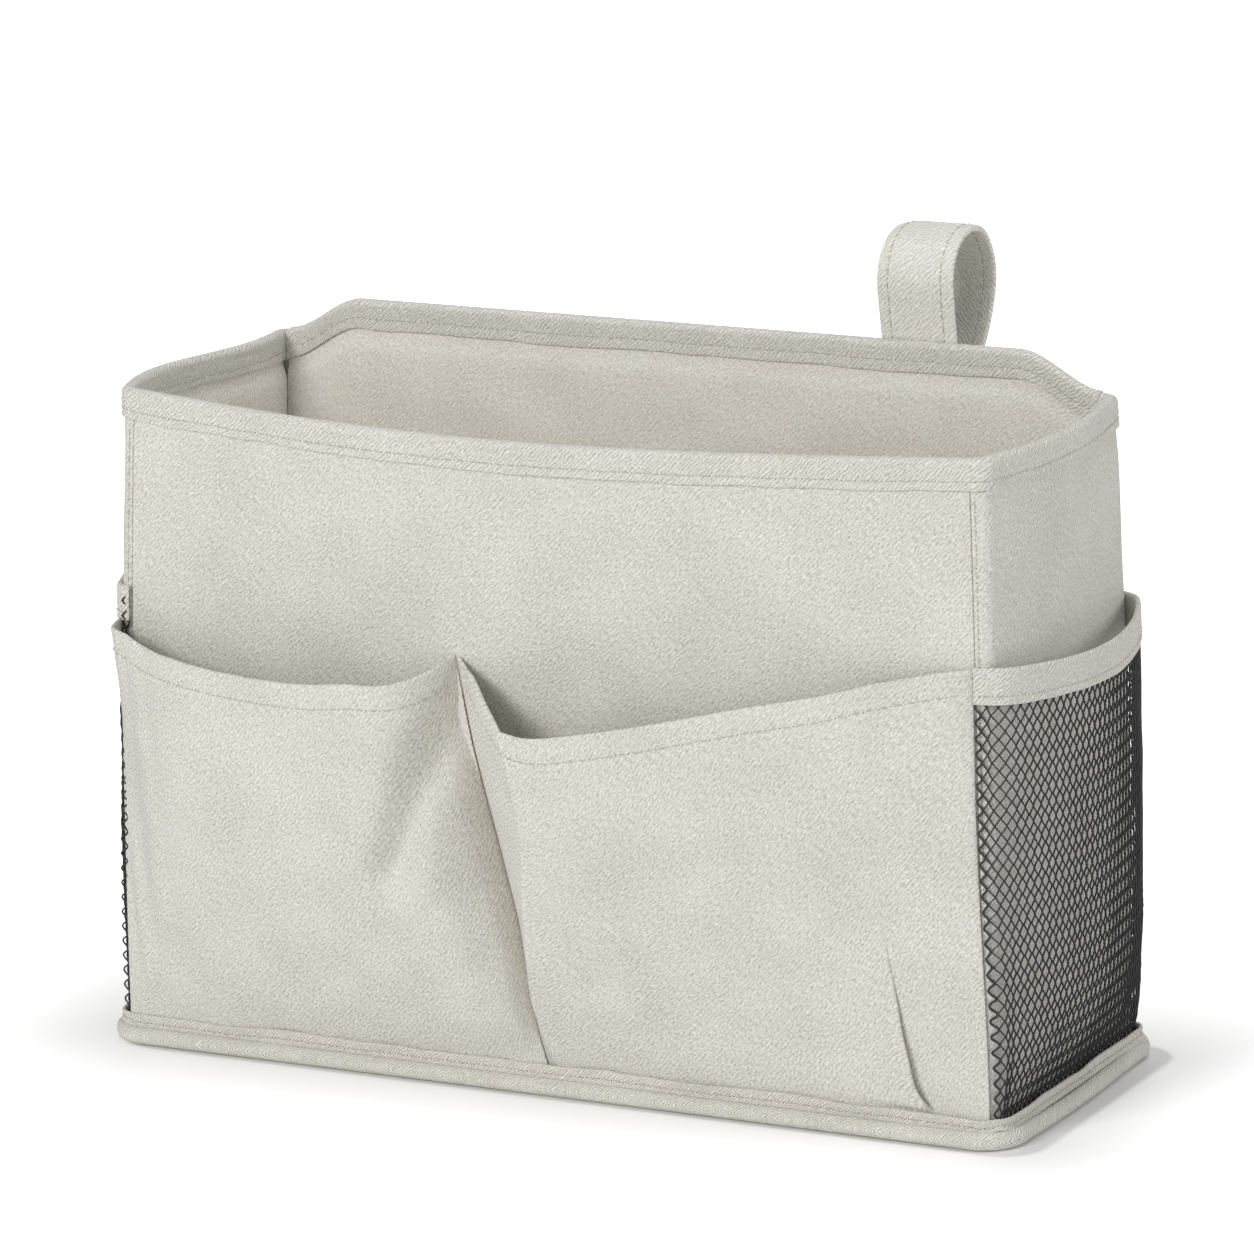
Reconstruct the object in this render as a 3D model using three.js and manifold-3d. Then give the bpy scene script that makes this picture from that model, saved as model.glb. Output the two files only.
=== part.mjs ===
// Armrest organizer: a sewn canvas box with boards between its cloth and its lining, two loose pockets
// on the front, a net pocket on each side, a strap loop at the back and a soft bound edge round the foot.
// Millimetres, +Z up, the front faces -Y. The origin is the middle of the underside.
import * as THREE from "three";
import { mergeVertices } from "three/addons/utils/BufferGeometryUtils.js";
import Module from "manifold-3d";

const { abs, cos, floor, hypot, max, min, pow, sin, PI } = Math;

// Overall sizes
const baseLength = 262;
const baseDepth = 102;
const rimShrinkLength = 17.6; // by which the rim is shorter and shallower than the foot
const rimLength = baseLength - rimShrinkLength;
const rimDepth = baseDepth - rimShrinkLength;
const rimHeight = 176.3; // front and side walls
const backRise = 10; // of the back wall over the other three
const backSlope = 22; // length at each end over which the back rim comes down to the side rims
const taperPower = 2.5; // above 1 the walls taper more under the rim than over the foot
const baseCornerRadius = 11;

// Layers of the walls and the clearance between them
const gap = 0.3;
const clothThickness = 0.7;
const boardThickness = 1.4;
const liningThickness = 0.7;

// Rim: a folded binding over the top of each wall, where the lining is pinched against the cloth
const bindingDrop = 7.8;
const bindingThickness = 0.7;
const bindingRoundness = 1.6;
const rimInnerRadius = 0.4;
const pinchFade = 6; // height over which the lining moves in from the cloth to the board
const seamReturn = 0.6; // flat strip between a corner's curve and its topstitched seam
const rimMeeting = 0.6; // the back rim ends this far above the side rims that it meets

// How far the loaded walls bow out at the rim, main bow and skew, and how far the front rim sags
const frontBow = 10;
const frontBowSkew = 1.5;
const frontSag = 3.5;
const rightBow = 6.4;
const rightBowSkew = 0.3;
const leftBow = 3.1;
const leftBowSkew = 3.3;
const bowRise = 1.3; // how late the bow grows on the way up

// Front pockets
const pocketThickness = 0.8;
const pocketHemHeight = 7;
const pocketHemExtra = 0.7; // the turned hem is thicker than the cloth by this much
const pocketFlare = 2.4; // how soon a pocket reaches its full depth above the foot
const pocketLateFlare = 4; // how late the left pocket flares out beside its outer seam
const pocketLateShare = 0.14; // of the left pocket's width that flares out late
const gussetRimShare = 0.17; // of the right pocket's width that turns back to the middle seam, at the rim
const gussetFootShare = 0.03; // and at the foot
const pocketRowEase = 1.3; // above 1 the rows of the cloth are closer near its foot
const pocketSeamRoom = 0.6; // from a seam to the edge of the pocket's cloth
const middleSeamTop = -22.5; // X of the leaning seam between the pockets, at its top and at the foot
const middleSeamFoot = -4;
const middleSeamHeight = 115;
// The rim of each pocket from left to right: share of its width, depth in front of the wall, height
const leftPocketRim = [
  [0, 0, 115],
  [0.015, 9, 114.5],
  [0.07, 18, 113],
  [0.3, 23, 108.6],
  [0.6, 18, 108.8],
  [0.86, 5.5, 112],
  [1, 0, 115],
];
const rightPocketRim = [
  [0, 0, 115],
  [0.07, 9.5, 109],
  [0.15, 23, 101],
  [0.23, 27, 99.5],
  [0.43, 24, 105],
  [0.68, 16, 113],
  [0.88, 7, 120],
  [1, 0, 124.5],
];

// Net pockets at the two sides
const netThickness = 0.6;
const netBulge = 8.8;
const rightNetSquareness = 0.55; // below 1 the bulge has fuller corners than a sine
const leftNetSquareness = 0.95;
const netFlare = 8;
const netTop = 122;
const netTopLift = 2; // the band is this much higher at its seams than in the middle
const netBandHeight = 9;
const netBandThickness = 0.7;
const netRows = 8;
const netThread = 0.9;

// Foot of the box: under cloth, base board, floor lining, and the rolled binding round them
const underClothThickness = 0.8;
const baseBoardThickness = 1.8;
const floorLiningThickness = 0.8;
const rollRadius = 2.1;
const rollValley = 0.4; // between the roll and the lip at the sides
const lipHeight = 8.2;
const lipThickness = 1;
const sideLipPush = 0.8; // the nets press the lip out at the two sides
const lipCornerExtraRadius = 1.5; // the lip turns its corners wider than the nets behind it

// Strap loop and its sewn ends
const strapWidth = 21.5;
const strapThickness = 1.7;
const strapFromCorner = 55.9; // from the right end of the rim to the middle of the strap
const strapCentre = rimLength / 2 - strapFromCorner;
const strapPivotDrop = 22.3; // from the back rim down to the pivot of the loop
const strapStackGap = 0.2; // between the loop's two stacked strands
const strapTailLength = 21;
const strapSwingRoom = 3; // from the knuckle down to the sewn ends, where the loop hangs when it is back
const strapStandHeight = 29.2; // of the loop over the back rim
const strapReach = 29.5; // outside width of the loop, front to back
// Middle line of the loop above its pivot: share of its reach behind the near strand, share of its rise
const strapLoop = [
  [0, 0.19],
  [0, 0.42],
  [-0.06, 0.62],
  [-0.09, 0.78],
  [0.02, 0.92],
  [0.24, 0.99],
  [0.5, 1],
  [0.74, 0.93],
  [0.9, 0.77],
  [0.88, 0.61],
  [0.7, 0.41],
  [0.37, 0.2],
];

// How finely the curved faces are divided
const frontSteps = 14;
const backSlopeSteps = 5;
const sideSteps = 8;
const cornerSteps = 3;
const wallRows = 6;
const wallRowEase = 0.8; // below 1 the rows are closer under the rim
const fadeRows = 3;
const roundSteps = 6;
const ringCornerSteps = 4;
const rollSteps = 6;
const pocketColumns = 24;
const pocketRows = 8;
const strapSteps = 44;
const knuckleSides = 16;
const fineStep = 1e-3; // share of a surface over which its direction is taken
const mergeDistance = 1e-4;

const canvasFinish = { color: 0xd6d3ca, roughness: 0.92, metalness: 0 };
const liningFinish = { color: 0xcdc9be, roughness: 0.94, metalness: 0 };
const boardFinish = { color: 0x8f8a7e, roughness: 0.8, metalness: 0 };
const netFinish = { color: 0x1d1d1f, roughness: 0.6, metalness: 0 };

const organizer = new THREE.Group();
organizer.name = "armrest_organizer";

const wasm = await Module();
wasm.setup();

// Small helpers

const mix = (a, b, t) => a + (b - a) * t;
const clamp01 = (t) => min(1, max(0, t));
const smooth = (t) => clamp01(t) * clamp01(t) * (3 - 2 * clamp01(t));
const point = (x, y, z) => new THREE.Vector3(x, y, z);
const shares = (count) => Array.from({ length: count + 1 }, (_, i) => i / count);

function addMesh(name, geometry, finish) {
  faceOut(geometry).computeVertexNormals();
  const mesh = new THREE.Mesh(geometry, new THREE.MeshStandardMaterial(finish));
  mesh.name = name;
  organizer.add(mesh);
}

// A surface from its faces, each a loop of points.
function fromFaces(faces) {
  const positions = [];
  for (const face of faces) {
    for (let i = 1; i + 1 < face.length; i++) {
      for (const corner of [face[0], face[i], face[i + 1]]) positions.push(...corner.toArray());
    }
  }
  const geometry = new THREE.BufferGeometry();
  geometry.setAttribute("position", new THREE.Float32BufferAttribute(positions, 3));
  return geometry;
}

// The faces of a flat or curved net of points, in rows that go up.
function gridFaces(grid) {
  const faces = [];
  for (let row = 0; row + 1 < grid.length; row++) {
    for (let i = 0; i + 1 < grid[row].length; i++) {
      faces.push([grid[row][i], grid[row][i + 1], grid[row + 1][i + 1], grid[row + 1][i]]);
    }
  }
  return faces;
}

// A solid between an outer and an inner sheet, both arrays of rows of points. The faces of both sheets
// are split along the same diagonal, so that layers stay parallel.
function between(outer, inner) {
  const innerFaces = gridFaces(inner).map(([first, ...others]) => [first, ...others.reverse()]);
  const bottom = [inner[0], outer[0]];
  const top = [outer.at(-1), inner.at(-1)];
  const columnOf = (sheet, i) => sheet.map((row) => row.at(i));
  const start = [columnOf(outer, 0), columnOf(inner, 0)];
  const end = [columnOf(inner, -1), columnOf(outer, -1)];
  return fromFaces([...[outer, bottom, top, start, end].flatMap(gridFaces), ...innerFaces]);
}

// A solid through rings that all follow one profile. Without the profile the last ring joins the
// first; with it the two ends are capped.
function throughRings(rings, profile) {
  const closed = rings.map((ring) => [...ring, ring[0]]);
  if (!profile) return fromFaces(gridFaces([...closed, closed[0]]));
  const outline = profile.map(([across, up]) => new THREE.Vector2(across, up));
  const cap = THREE.ShapeUtils.triangulateShape(outline, []);
  const turned = THREE.ShapeUtils.isClockWise(outline);
  const capOf = (ring, flip) =>
    cap.map((corners) => (flip ? [...corners].reverse() : corners).map((i) => ring[i]));
  return fromFaces([...gridFaces(closed), ...capOf(rings[0], !turned), ...capOf(rings.at(-1), turned)]);
}

// Six times the signed volume that a surface encloses: negative where its faces point inwards.
function signedVolume(positions) {
  const [a, b, c] = [point(), point(), point()];
  let sum = 0;
  for (let i = 0; i < positions.count; i += 3) {
    a.fromBufferAttribute(positions, i);
    b.fromBufferAttribute(positions, i + 1);
    c.fromBufferAttribute(positions, i + 2);
    sum += a.dot(b.cross(c));
  }
  return sum;
}

// Mirrored pieces come out with their faces turned in, so those are turned round again.
function faceOut(geometry) {
  const positions = geometry.getAttribute("position");
  if (signedVolume(positions) > 0) return geometry;
  const old = positions.array.slice();
  for (let i = 0; i < positions.count; i += 3) {
    positions.setXYZ(i + 1, old[3 * i + 6], old[3 * i + 7], old[3 * i + 8]);
    positions.setXYZ(i + 2, old[3 * i + 3], old[3 * i + 4], old[3 * i + 5]);
  }
  return geometry;
}

// Unit normal of a surface given as a function of two shares.
function normalAt(surface, u, v) {
  const along = surface(min(1, u + fineStep), v).sub(surface(max(0, u - fineStep), v));
  const up = surface(u, min(1, v + fineStep)).sub(surface(u, max(0, v - fineStep)));
  return along.cross(up).normalize();
}

// Cloth round a middle surface: its faces lie in front of it and behind it by the given distances.
function clothSolid(surface, columns, rows, front, behind) {
  const face = (distance) =>
    rows.map((v) =>
      columns.map((u) => surface(u, v).addScaledVector(normalAt(surface, u, v), distance(u, v))),
    );
  return between(face(front), face((u, v) => -behind(u, v)));
}

// The shell: its foot, the outer faces of its walls with their bow, and the depths of its layers

const backHeight = rimHeight + backRise;
const wallFoot = underClothThickness + baseBoardThickness + 2 * gap;
const footInset = rollRadius + rollValley + lipThickness + sideLipPush + netThickness + 2 * gap;
const footLength = baseLength - 2 * footInset;
const footDepth = baseDepth - 2 * footInset;
const taper = (z) => pow(max(0, z) / rimHeight, taperPower);
const halfLength = (z) => mix(footLength, rimLength, taper(z)) / 2;
const halfDepth = (z) => mix(footDepth, rimDepth, taper(z)) / 2;

const pinchedWall = clothThickness + gap + liningThickness;
const boardFace = clothThickness + gap;
const fullLiningFace = boardFace + boardThickness + gap;
const fullWall = fullLiningFace + liningThickness;
const cornerRadius = pinchedWall + gap + bindingThickness + rimInnerRadius;
const cornerSeam = cornerRadius + seamReturn; // from a corner in to its seam
const clothTop = bindingThickness + 2 * gap; // cloth and lining end this far below the rim
const pinchEnd = bindingDrop + gap; // the lining is pinched down to here
const boardTop = pinchEnd + pinchFade + gap;

const rise = (z) => pow(clamp01(z / rimHeight), bowRise);
const bowCurve = (t, main, skew) => main * sin(PI * clamp01(t)) + skew * sin(2 * PI * clamp01(t));

function frontBowAt(x, z) {
  return rise(z) * bowCurve((x / halfLength(z) + 1) / 2, frontBow, frontBowSkew);
}

function sideBowAt(side, y, z) {
  const [main, skew] = side > 0 ? [rightBow, rightBowSkew] : [leftBow, leftBowSkew];
  return rise(z) * bowCurve((y / halfDepth(z) + 1) / 2, main, skew);
}

// Depth of the lining's outer face at a drop below the rim.
function liningFace(drop) {
  return mix(boardFace, fullLiningFace, smooth((drop - pinchEnd) / pinchFade));
}

const frontRim = (x) => rimHeight - frontSag * sin(PI * clamp01(x / rimLength + 0.5));

// The back rim stands above the others and comes down to them at its two ends.
const backEnd = rimLength / 2 - cornerSeam;
const backRim = (x) => rimHeight + mix(rimMeeting, backRise, smooth((backEnd - abs(x)) / backSlope));

const frontPoint = (x, z, inward) => point(x, -halfDepth(z) - frontBowAt(x, z) + inward, z);

// A station is an upright line on the shell: its point at a height and a depth inward from the
// outer face, and the height of the rim above it. Insets are from the shell's corners.

function frontStation(share, inset) {
  const xAt = (z) => (2 * share - 1) * (halfLength(z) - inset);
  return { rim: frontRim(xAt(rimHeight)), at: (z, inward) => frontPoint(xAt(z), z, inward) };
}

function backStation(share, inset) {
  const xAt = (z) => (2 * share - 1) * (halfLength(z) - inset);
  return { rim: backRim(xAt(rimHeight)), at: (z, inward) => point(xAt(z), halfDepth(z) - inward, z) };
}

function sideStation(side, share, insetAt) {
  const yAt = (z) => (2 * share - 1) * (halfDepth(z) - insetAt(z));
  const at = (z, inward) =>
    point(side * (halfLength(z) + sideBowAt(side, yAt(z), z) - inward), yAt(z), z);
  return { rim: rimHeight, at };
}

// The way round a side wall, from a line on the front face round both corners to the back face.
// Its ends are reach in from the corners.
function wayRound(side, reach) {
  const flat = reach - cornerRadius;
  const turn = (cornerRadius * PI) / 2;
  const straight = footDepth - 2 * cornerRadius;
  const total = 2 * (flat + turn) + straight;
  const at = (share, z, inward) => {
    const end = share < 0.5 ? -1 : 1;
    const way = min(share, 1 - share) * total;
    const angle = (clamp01((way - flat) / turn) * PI) / 2;
    const along = max(0, way - flat - turn) / straight;
    const x = halfLength(z) - cornerRadius * (1 - sin(angle)) - max(0, flat - way);
    const cornerY = halfDepth(z) - cornerRadius * (1 - cos(angle));
    const y = cornerY - along * 2 * (halfDepth(z) - cornerRadius);
    const bow = end < 0 ? frontBowAt(side * x, z) : 0;
    return point(
      side * (x + sideBowAt(side, end * y, z) - inward * sin(angle)),
      end * (y + bow - inward * cos(angle)),
      z,
    );
  };
  const half = [0, ...shares(cornerSteps).map((t) => (flat + t * turn) / total)];
  const middle = shares(sideSteps).slice(1, -1).map((t) => (flat + turn + t * straight) / total);
  const columns = [...half, ...middle, ...half.map((share) => 1 - share).reverse()];
  const station = (share) => {
    const rim = share < 0.5 ? frontRim(at(share, rimHeight, 0).x) : rimHeight;
    return { rim, at: (z, inward) => at(share, z, inward) };
  };
  return { at, columns, stations: columns.map(station) };
}

// One layer of a wall between two depths, which may change with the drop below the rim.
function layer(stations, heightsAt, from, to) {
  const face = (inward) => {
    const columns = stations.map((station) =>
      heightsAt(station).map((z) => station.at(z, inward(station.rim - z))),
    );
    return columns[0].map((_, row) => columns.map((column) => column[row]));
  };
  return between(face(from), face(to));
}

const wallShares = shares(wallRows).map((t) => pow(t, wallRowEase));

const heightsTo = (drop) => (station) =>
  wallShares.map((t) => mix(wallFoot, station.rim - drop, t));

function liningHeights(station) {
  const fade = [...shares(fadeRows)].reverse().map((t) => station.rim - pinchEnd - t * pinchFade);
  const below = wallShares.slice(0, -1).map((t) => mix(wallFoot, fade[0], t));
  return [...below, ...fade, station.rim - clothTop];
}

// Shares along the back wall, closer together where its rim slopes.
const backSlopeShare = backSlope / (2 * backEnd);
const backSlopeColumns = shares(backSlopeSteps).map((t) => t * backSlopeShare);
const backColumns = [...backSlopeColumns, ...backSlopeColumns.map((share) => 1 - share).reverse()];

// The three layers of one wall. Each list of stations ends where its own layer does.
function addWall(name, clothStations, boardStations, liningStations) {
  const constant = (depth) => () => depth;
  const cloth = layer(clothStations, heightsTo(clothTop), constant(0), constant(clothThickness));
  const boardBack = constant(boardFace + boardThickness);
  const board = layer(boardStations, heightsTo(boardTop), constant(boardFace), boardBack);
  const liningBack = (drop) => liningFace(drop) + liningThickness;
  const lining = layer(liningStations, liningHeights, liningFace, liningBack);
  addMesh(name + "_cloth", cloth, canvasFinish);
  addMesh(name + "_board", board, boardFinish);
  addMesh(name + "_lining", lining, liningFinish);
}

function addWalls() {
  const front = (inset) => shares(frontSteps).map((share) => frontStation(share, inset));
  addWall("front", front(cornerSeam + gap), front(cornerRadius), front(cornerRadius));

  const back = backColumns.map((share) => backStation(share, cornerSeam + gap));
  addWall("back", back, back, back);

  const liningInset = (z) => max(cornerRadius, liningFace(rimHeight - z) + liningThickness + gap);
  for (const [name, side] of [["left", -1], ["right", 1]]) {
    const sideOf = (insetAt) => shares(sideSteps).map((share) => sideStation(side, share, insetAt));
    addWall(name, wayRound(side, cornerSeam).stations, sideOf(() => cornerRadius), sideOf(liningInset));
  }
}

// The folded binding of the rim as a profile of depth inward and drop below the rim.
function bindingProfile() {
  const outer = -(gap + bindingThickness);
  const inner = pinchedWall + gap + bindingThickness;
  const middle = (outer + inner) / 2;
  const round = shares(roundSteps).map((t) => [
    middle - cos(PI * t) * (middle - outer),
    bindingRoundness * (1 - sin(PI * t)),
  ]);
  const inside = bindingThickness + gap;
  return [
    [outer, bindingDrop],
    ...round,
    [inner, bindingDrop],
    [inner - bindingThickness, bindingDrop],
    [inner - bindingThickness, inside],
    [-gap, inside],
    [-gap, bindingDrop],
  ];
}

function addRimBindings() {
  const profile = bindingProfile();
  const ringAt = (station) =>
    profile.map(([inward, drop]) => station.at(station.rim - drop, inward));

  const [left, right] = [wayRound(-1, cornerSeam), wayRound(1, cornerSeam)];
  const front = shares(frontSteps).slice(1, -1).map((share) => frontStation(share, cornerRadius));
  const stations = [...left.stations.slice(1).reverse(), ...front, ...right.stations.slice(1)];
  addMesh("rim_binding", throughRings(stations.map(ringAt), profile), canvasFinish);

  const back = backColumns.map((share) => backStation(share, cornerSeam + gap));
  addMesh("back_rim_binding", throughRings(back.map(ringAt), profile), canvasFinish);
}

// The foot of the box: plates, and the rolled binding with its upright lip

const lipHalfLength = footLength / 2 + netThickness + 2 * gap + sideLipPush;
const lipHalfDepth = footDepth / 2 + pocketThickness + 2 * gap;
const lipRadius = cornerRadius + netThickness + 2 * gap + lipCornerExtraRadius;

function roundedPlate(halfX, halfY, radius, bottom, thickness) {
  const outline = new THREE.Shape();
  outline.absarc(halfX - radius, halfY - radius, radius, 0, PI / 2);
  outline.absarc(radius - halfX, halfY - radius, radius, PI / 2, PI);
  outline.absarc(radius - halfX, radius - halfY, radius, PI, PI * 1.5);
  outline.absarc(halfX - radius, radius - halfY, radius, PI * 1.5, PI * 2);
  const settings = { depth: thickness, bevelEnabled: false, curveSegments: ringCornerSteps };
  return new THREE.ExtrudeGeometry(outline, settings).translate(0, 0, bottom);
}

// Points round a rectangle with rounded corners, as many for every size.
function roundedRing(halfX, halfY, radius, z) {
  const corners = [[1, 1], [-1, 1], [-1, -1], [1, -1]];
  return corners.flatMap(([signX, signY], corner) =>
    shares(ringCornerSteps).map((t) => {
      const angle = ((corner + t) * PI) / 2;
      const x = signX * (halfX - radius) + radius * cos(angle);
      return point(x, signY * (halfY - radius) + radius * sin(angle), z);
    }),
  );
}

function addFoot() {
  const [halfX, halfY, radius] = [lipHalfLength - gap, lipHalfDepth - gap, lipRadius - gap];
  const boardBottom = underClothThickness + gap;
  const underCloth = roundedPlate(halfX, halfY, radius, 0, underClothThickness);
  const baseBoard = roundedPlate(halfX, halfY, radius, boardBottom, baseBoardThickness);
  const floorX = footLength / 2 - fullWall - gap;
  const floorY = footDepth / 2 - fullWall - gap;
  const floorLining = roundedPlate(floorX, floorY, cornerRadius, wallFoot, floorLiningThickness);
  addMesh("under_cloth", underCloth, canvasFinish);
  addMesh("base_board", baseBoard, boardFinish);
  addMesh("floor_lining", floorLining, liningFinish);

  const edge = (inset, z) =>
    roundedRing(baseLength / 2 - inset, baseDepth / 2 - inset, baseCornerRadius - inset, z);
  const lip = (outward, z) =>
    roundedRing(lipHalfLength + outward, lipHalfDepth + outward, lipRadius + outward, z);
  const roll = shares(rollSteps).map((t) =>
    edge(rollRadius * (1 - sin(PI * t)), rollRadius * (1 - cos(PI * t))),
  );
  const round = lipThickness / 3;
  const profileRings = [
    lip(0, 0),
    ...roll,
    lip(lipThickness, 2 * rollRadius - gap),
    lip(lipThickness, lipHeight - round),
    lip(lipThickness - round, lipHeight),
    lip(round, lipHeight),
    lip(0, lipHeight - round),
  ];
  const rings = profileRings[0].map((_, i) => profileRings.map((ring) => ring[i]));
  addMesh("base_binding", throughRings(rings), canvasFinish);
}

// Front pockets

const pocketFoot = wallFoot + boardThickness;
const middleSeamAt = (z) => mix(middleSeamFoot, middleSeamTop, z / middleSeamHeight);
const outerSeamAt = (z) => halfLength(z) - cornerSeam;

// The cloth of a pocket: its depth in front of the wall along the rim, and its middle surface, which
// stays behind the lip at its foot and flares out to the rim.
function pocketCloth(rim, leftAt, rightAt, lateShare, gussetShare) {
  const width = rightAt(middleSeamHeight) - leftAt(middleSeamHeight);
  const knots = rim.map(([share, depth, height]) => point(share * width, depth, height));
  const curve = new THREE.CatmullRomCurve3(knots, false, "centripetal");
  const flareFoot = lipHeight + gap;
  const depthAt = (u) => max(0, curve.getPointAt(u).y);
  // The cloth that turns back to the seam narrows towards the foot.
  const narrowed = (share, lift) => {
    if (!gussetShare) return share;
    const fold = mix(gussetFootShare, gussetShare, lift);
    if (share < gussetShare) return (share / gussetShare) * fold;
    return mix(fold, 1, (share - gussetShare) / (1 - gussetShare));
  };
  const surface = (u, v) => {
    const knot = curve.getPointAt(u);
    const z = mix(pocketFoot, knot.z, v);
    const lift = clamp01((z - flareFoot) / (knot.z - flareFoot));
    const soon = 1 - pow(1 - lift, pocketFlare);
    const late = pow(lift, pocketLateFlare);
    const depth = depthAt(u) * (lateShare ? mix(late, soon, smooth(u / lateShare)) : soon);
    const x = mix(leftAt(z), rightAt(z), narrowed(clamp01(knot.x / width), lift));
    return frontPoint(x, z, -(gap + pocketThickness / 2 + depth));
  };
  return { depthAt, surface };
}

function addPocket(name, rim, leftAt, rightAt, lateShare, gussetShare) {
  const { depthAt, surface } = pocketCloth(rim, leftAt, rightAt, lateShare, gussetShare);
  const height = middleSeamHeight - pocketFoot;
  const footShare = (lipHeight + gap - pocketFoot) / height;
  const hemShare = 1 - pocketHemHeight / height;
  const body = shares(pocketRows).map((t) => mix(footShare, hemShare - footShare / 2, pow(t, pocketRowEase)));
  const half = pocketThickness / 2;
  // The hem is turned in behind the cloth, and runs out where the cloth meets the wall.
  const hem = (u, v) => (v >= hemShare ? min(pocketHemExtra, depthAt(u) / 2) : 0);
  const behind = (u, v) => half + hem(u, v);
  const rows = [0, ...body, hemShare, 1];
  addMesh(name, clothSolid(surface, shares(pocketColumns), rows, () => half, behind), canvasFinish);
}

function addPockets() {
  const left = (z) => pocketSeamRoom - outerSeamAt(z);
  const right = (z) => outerSeamAt(z) - pocketSeamRoom;
  const beforeSeam = (z) => middleSeamAt(z) - pocketSeamRoom;
  const afterSeam = (z) => middleSeamAt(z) + pocketSeamRoom;
  addPocket("left_pocket", leftPocketRim, left, beforeSeam, pocketLateShare, 0);
  addPocket("right_pocket", rightPocketRim, afterSeam, right, 0, gussetRimShare);
}

// Net pockets

const netFoot = pocketFoot;
const netRimAt = (share) => netTop + netTopLift * (1 - sin(PI * share));

// The middle surface of a side's net: share of the way from the front seam to the back seam, height.
function netSurface(side) {
  const way = wayRound(side, cornerSeam - gap);
  const flareFoot = lipHeight + gap;
  const footHug = gap + netThickness / 2;
  const topHug = footHug + netBandThickness + gap;
  const squareness = side > 0 ? rightNetSquareness : leftNetSquareness;
  return (share, z) => {
    const lift = clamp01((z - flareFoot) / (netTop - netBandHeight - flareFoot));
    const hugged = way.at(share, z, -mix(footHug, topHug, lift));
    const depthShare = clamp01((hugged.y / halfDepth(z) + 1) / 2);
    const bulge = mix(sideLipPush, netBulge, 1 - pow(1 - lift, netFlare));
    hugged.x += side * bulge * pow(sin(PI * depthShare), squareness);
    return hugged;
  };
}

// Level direction that points out of a side's net.
function netNormal(surface, side, share, z) {
  const along = surface(min(1, share + fineStep), z).sub(surface(max(0, share - fineStep), z));
  return point(along.y, -along.x, 0).normalize().multiplyScalar(side);
}

// A net of diamonds on a sheet that is given by column and row numbers. The margins round its field
// are solid, and so are the half diamonds along the field's edges.
function diamondNet(sheet, columns, rows, sideMargin, endMargin, holeShare) {
  const faces = [];
  // Adds the front and the back of one plate, and a wall on each named edge, from corner k to the next.
  const addPlate = (corners, walls) => {
    const front = corners.map(([i, j]) => sheet(i, j, netThickness / 2));
    const back = corners.map(([i, j]) => sheet(i, j, -netThickness / 2));
    faces.push(front, [...back].reverse());
    for (const k of walls) {
      const next = (k + 1) % corners.length;
      faces.push([front[next], front[k], back[k], back[next]]);
    }
  };
  const [left, right, foot, top] = [sideMargin, columns - sideMargin, endMargin, rows - endMargin];
  for (let i = 0; i < columns; i++) {
    for (let j = 0; j < rows; j++) {
      if (i >= left && i < right && j >= foot && j < top) continue;
      const atEdge = [j === 0, i === columns - 1, j === rows - 1, i === 0];
      const walls = [0, 1, 2, 3].filter((k) => atEdge[k]);
      addPlate([[i, j], [i + 1, j], [i + 1, j + 1], [i, j + 1]], walls);
    }
  }
  const inField = ([i, j]) => i >= left && i <= right && j >= foot && j <= top;
  for (let i = left; i <= right; i += 0.5) {
    for (let j = foot; j <= top; j += 0.5) {
      if (Number.isInteger(i) === Number.isInteger(j)) continue;
      const around = [[i + 0.5, j], [i, j + 0.5], [i - 0.5, j], [i, j - 0.5]];
      const missing = around.findIndex((corner) => !inField(corner));
      if (missing >= 0) {
        addPlate([1, 2, 3].map((k) => around[(missing + k) % 4]), []);
        continue;
      }
      const hole = around.map(([a, b]) => [mix(i, a, holeShare), mix(j, b, holeShare)]);
      around.forEach((corner, k) => {
        const next = (k + 1) % 4;
        addPlate([corner, around[next], hole[next], hole[k]], [2]);
      });
    }
  }
  return fromFaces(faces);
}

// The value of a list at a place between two of its entries.
function entryAt(list, place) {
  const before = min(floor(place), list.length - 2);
  return mix(list[before], list[before + 1], place - before);
}

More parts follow.
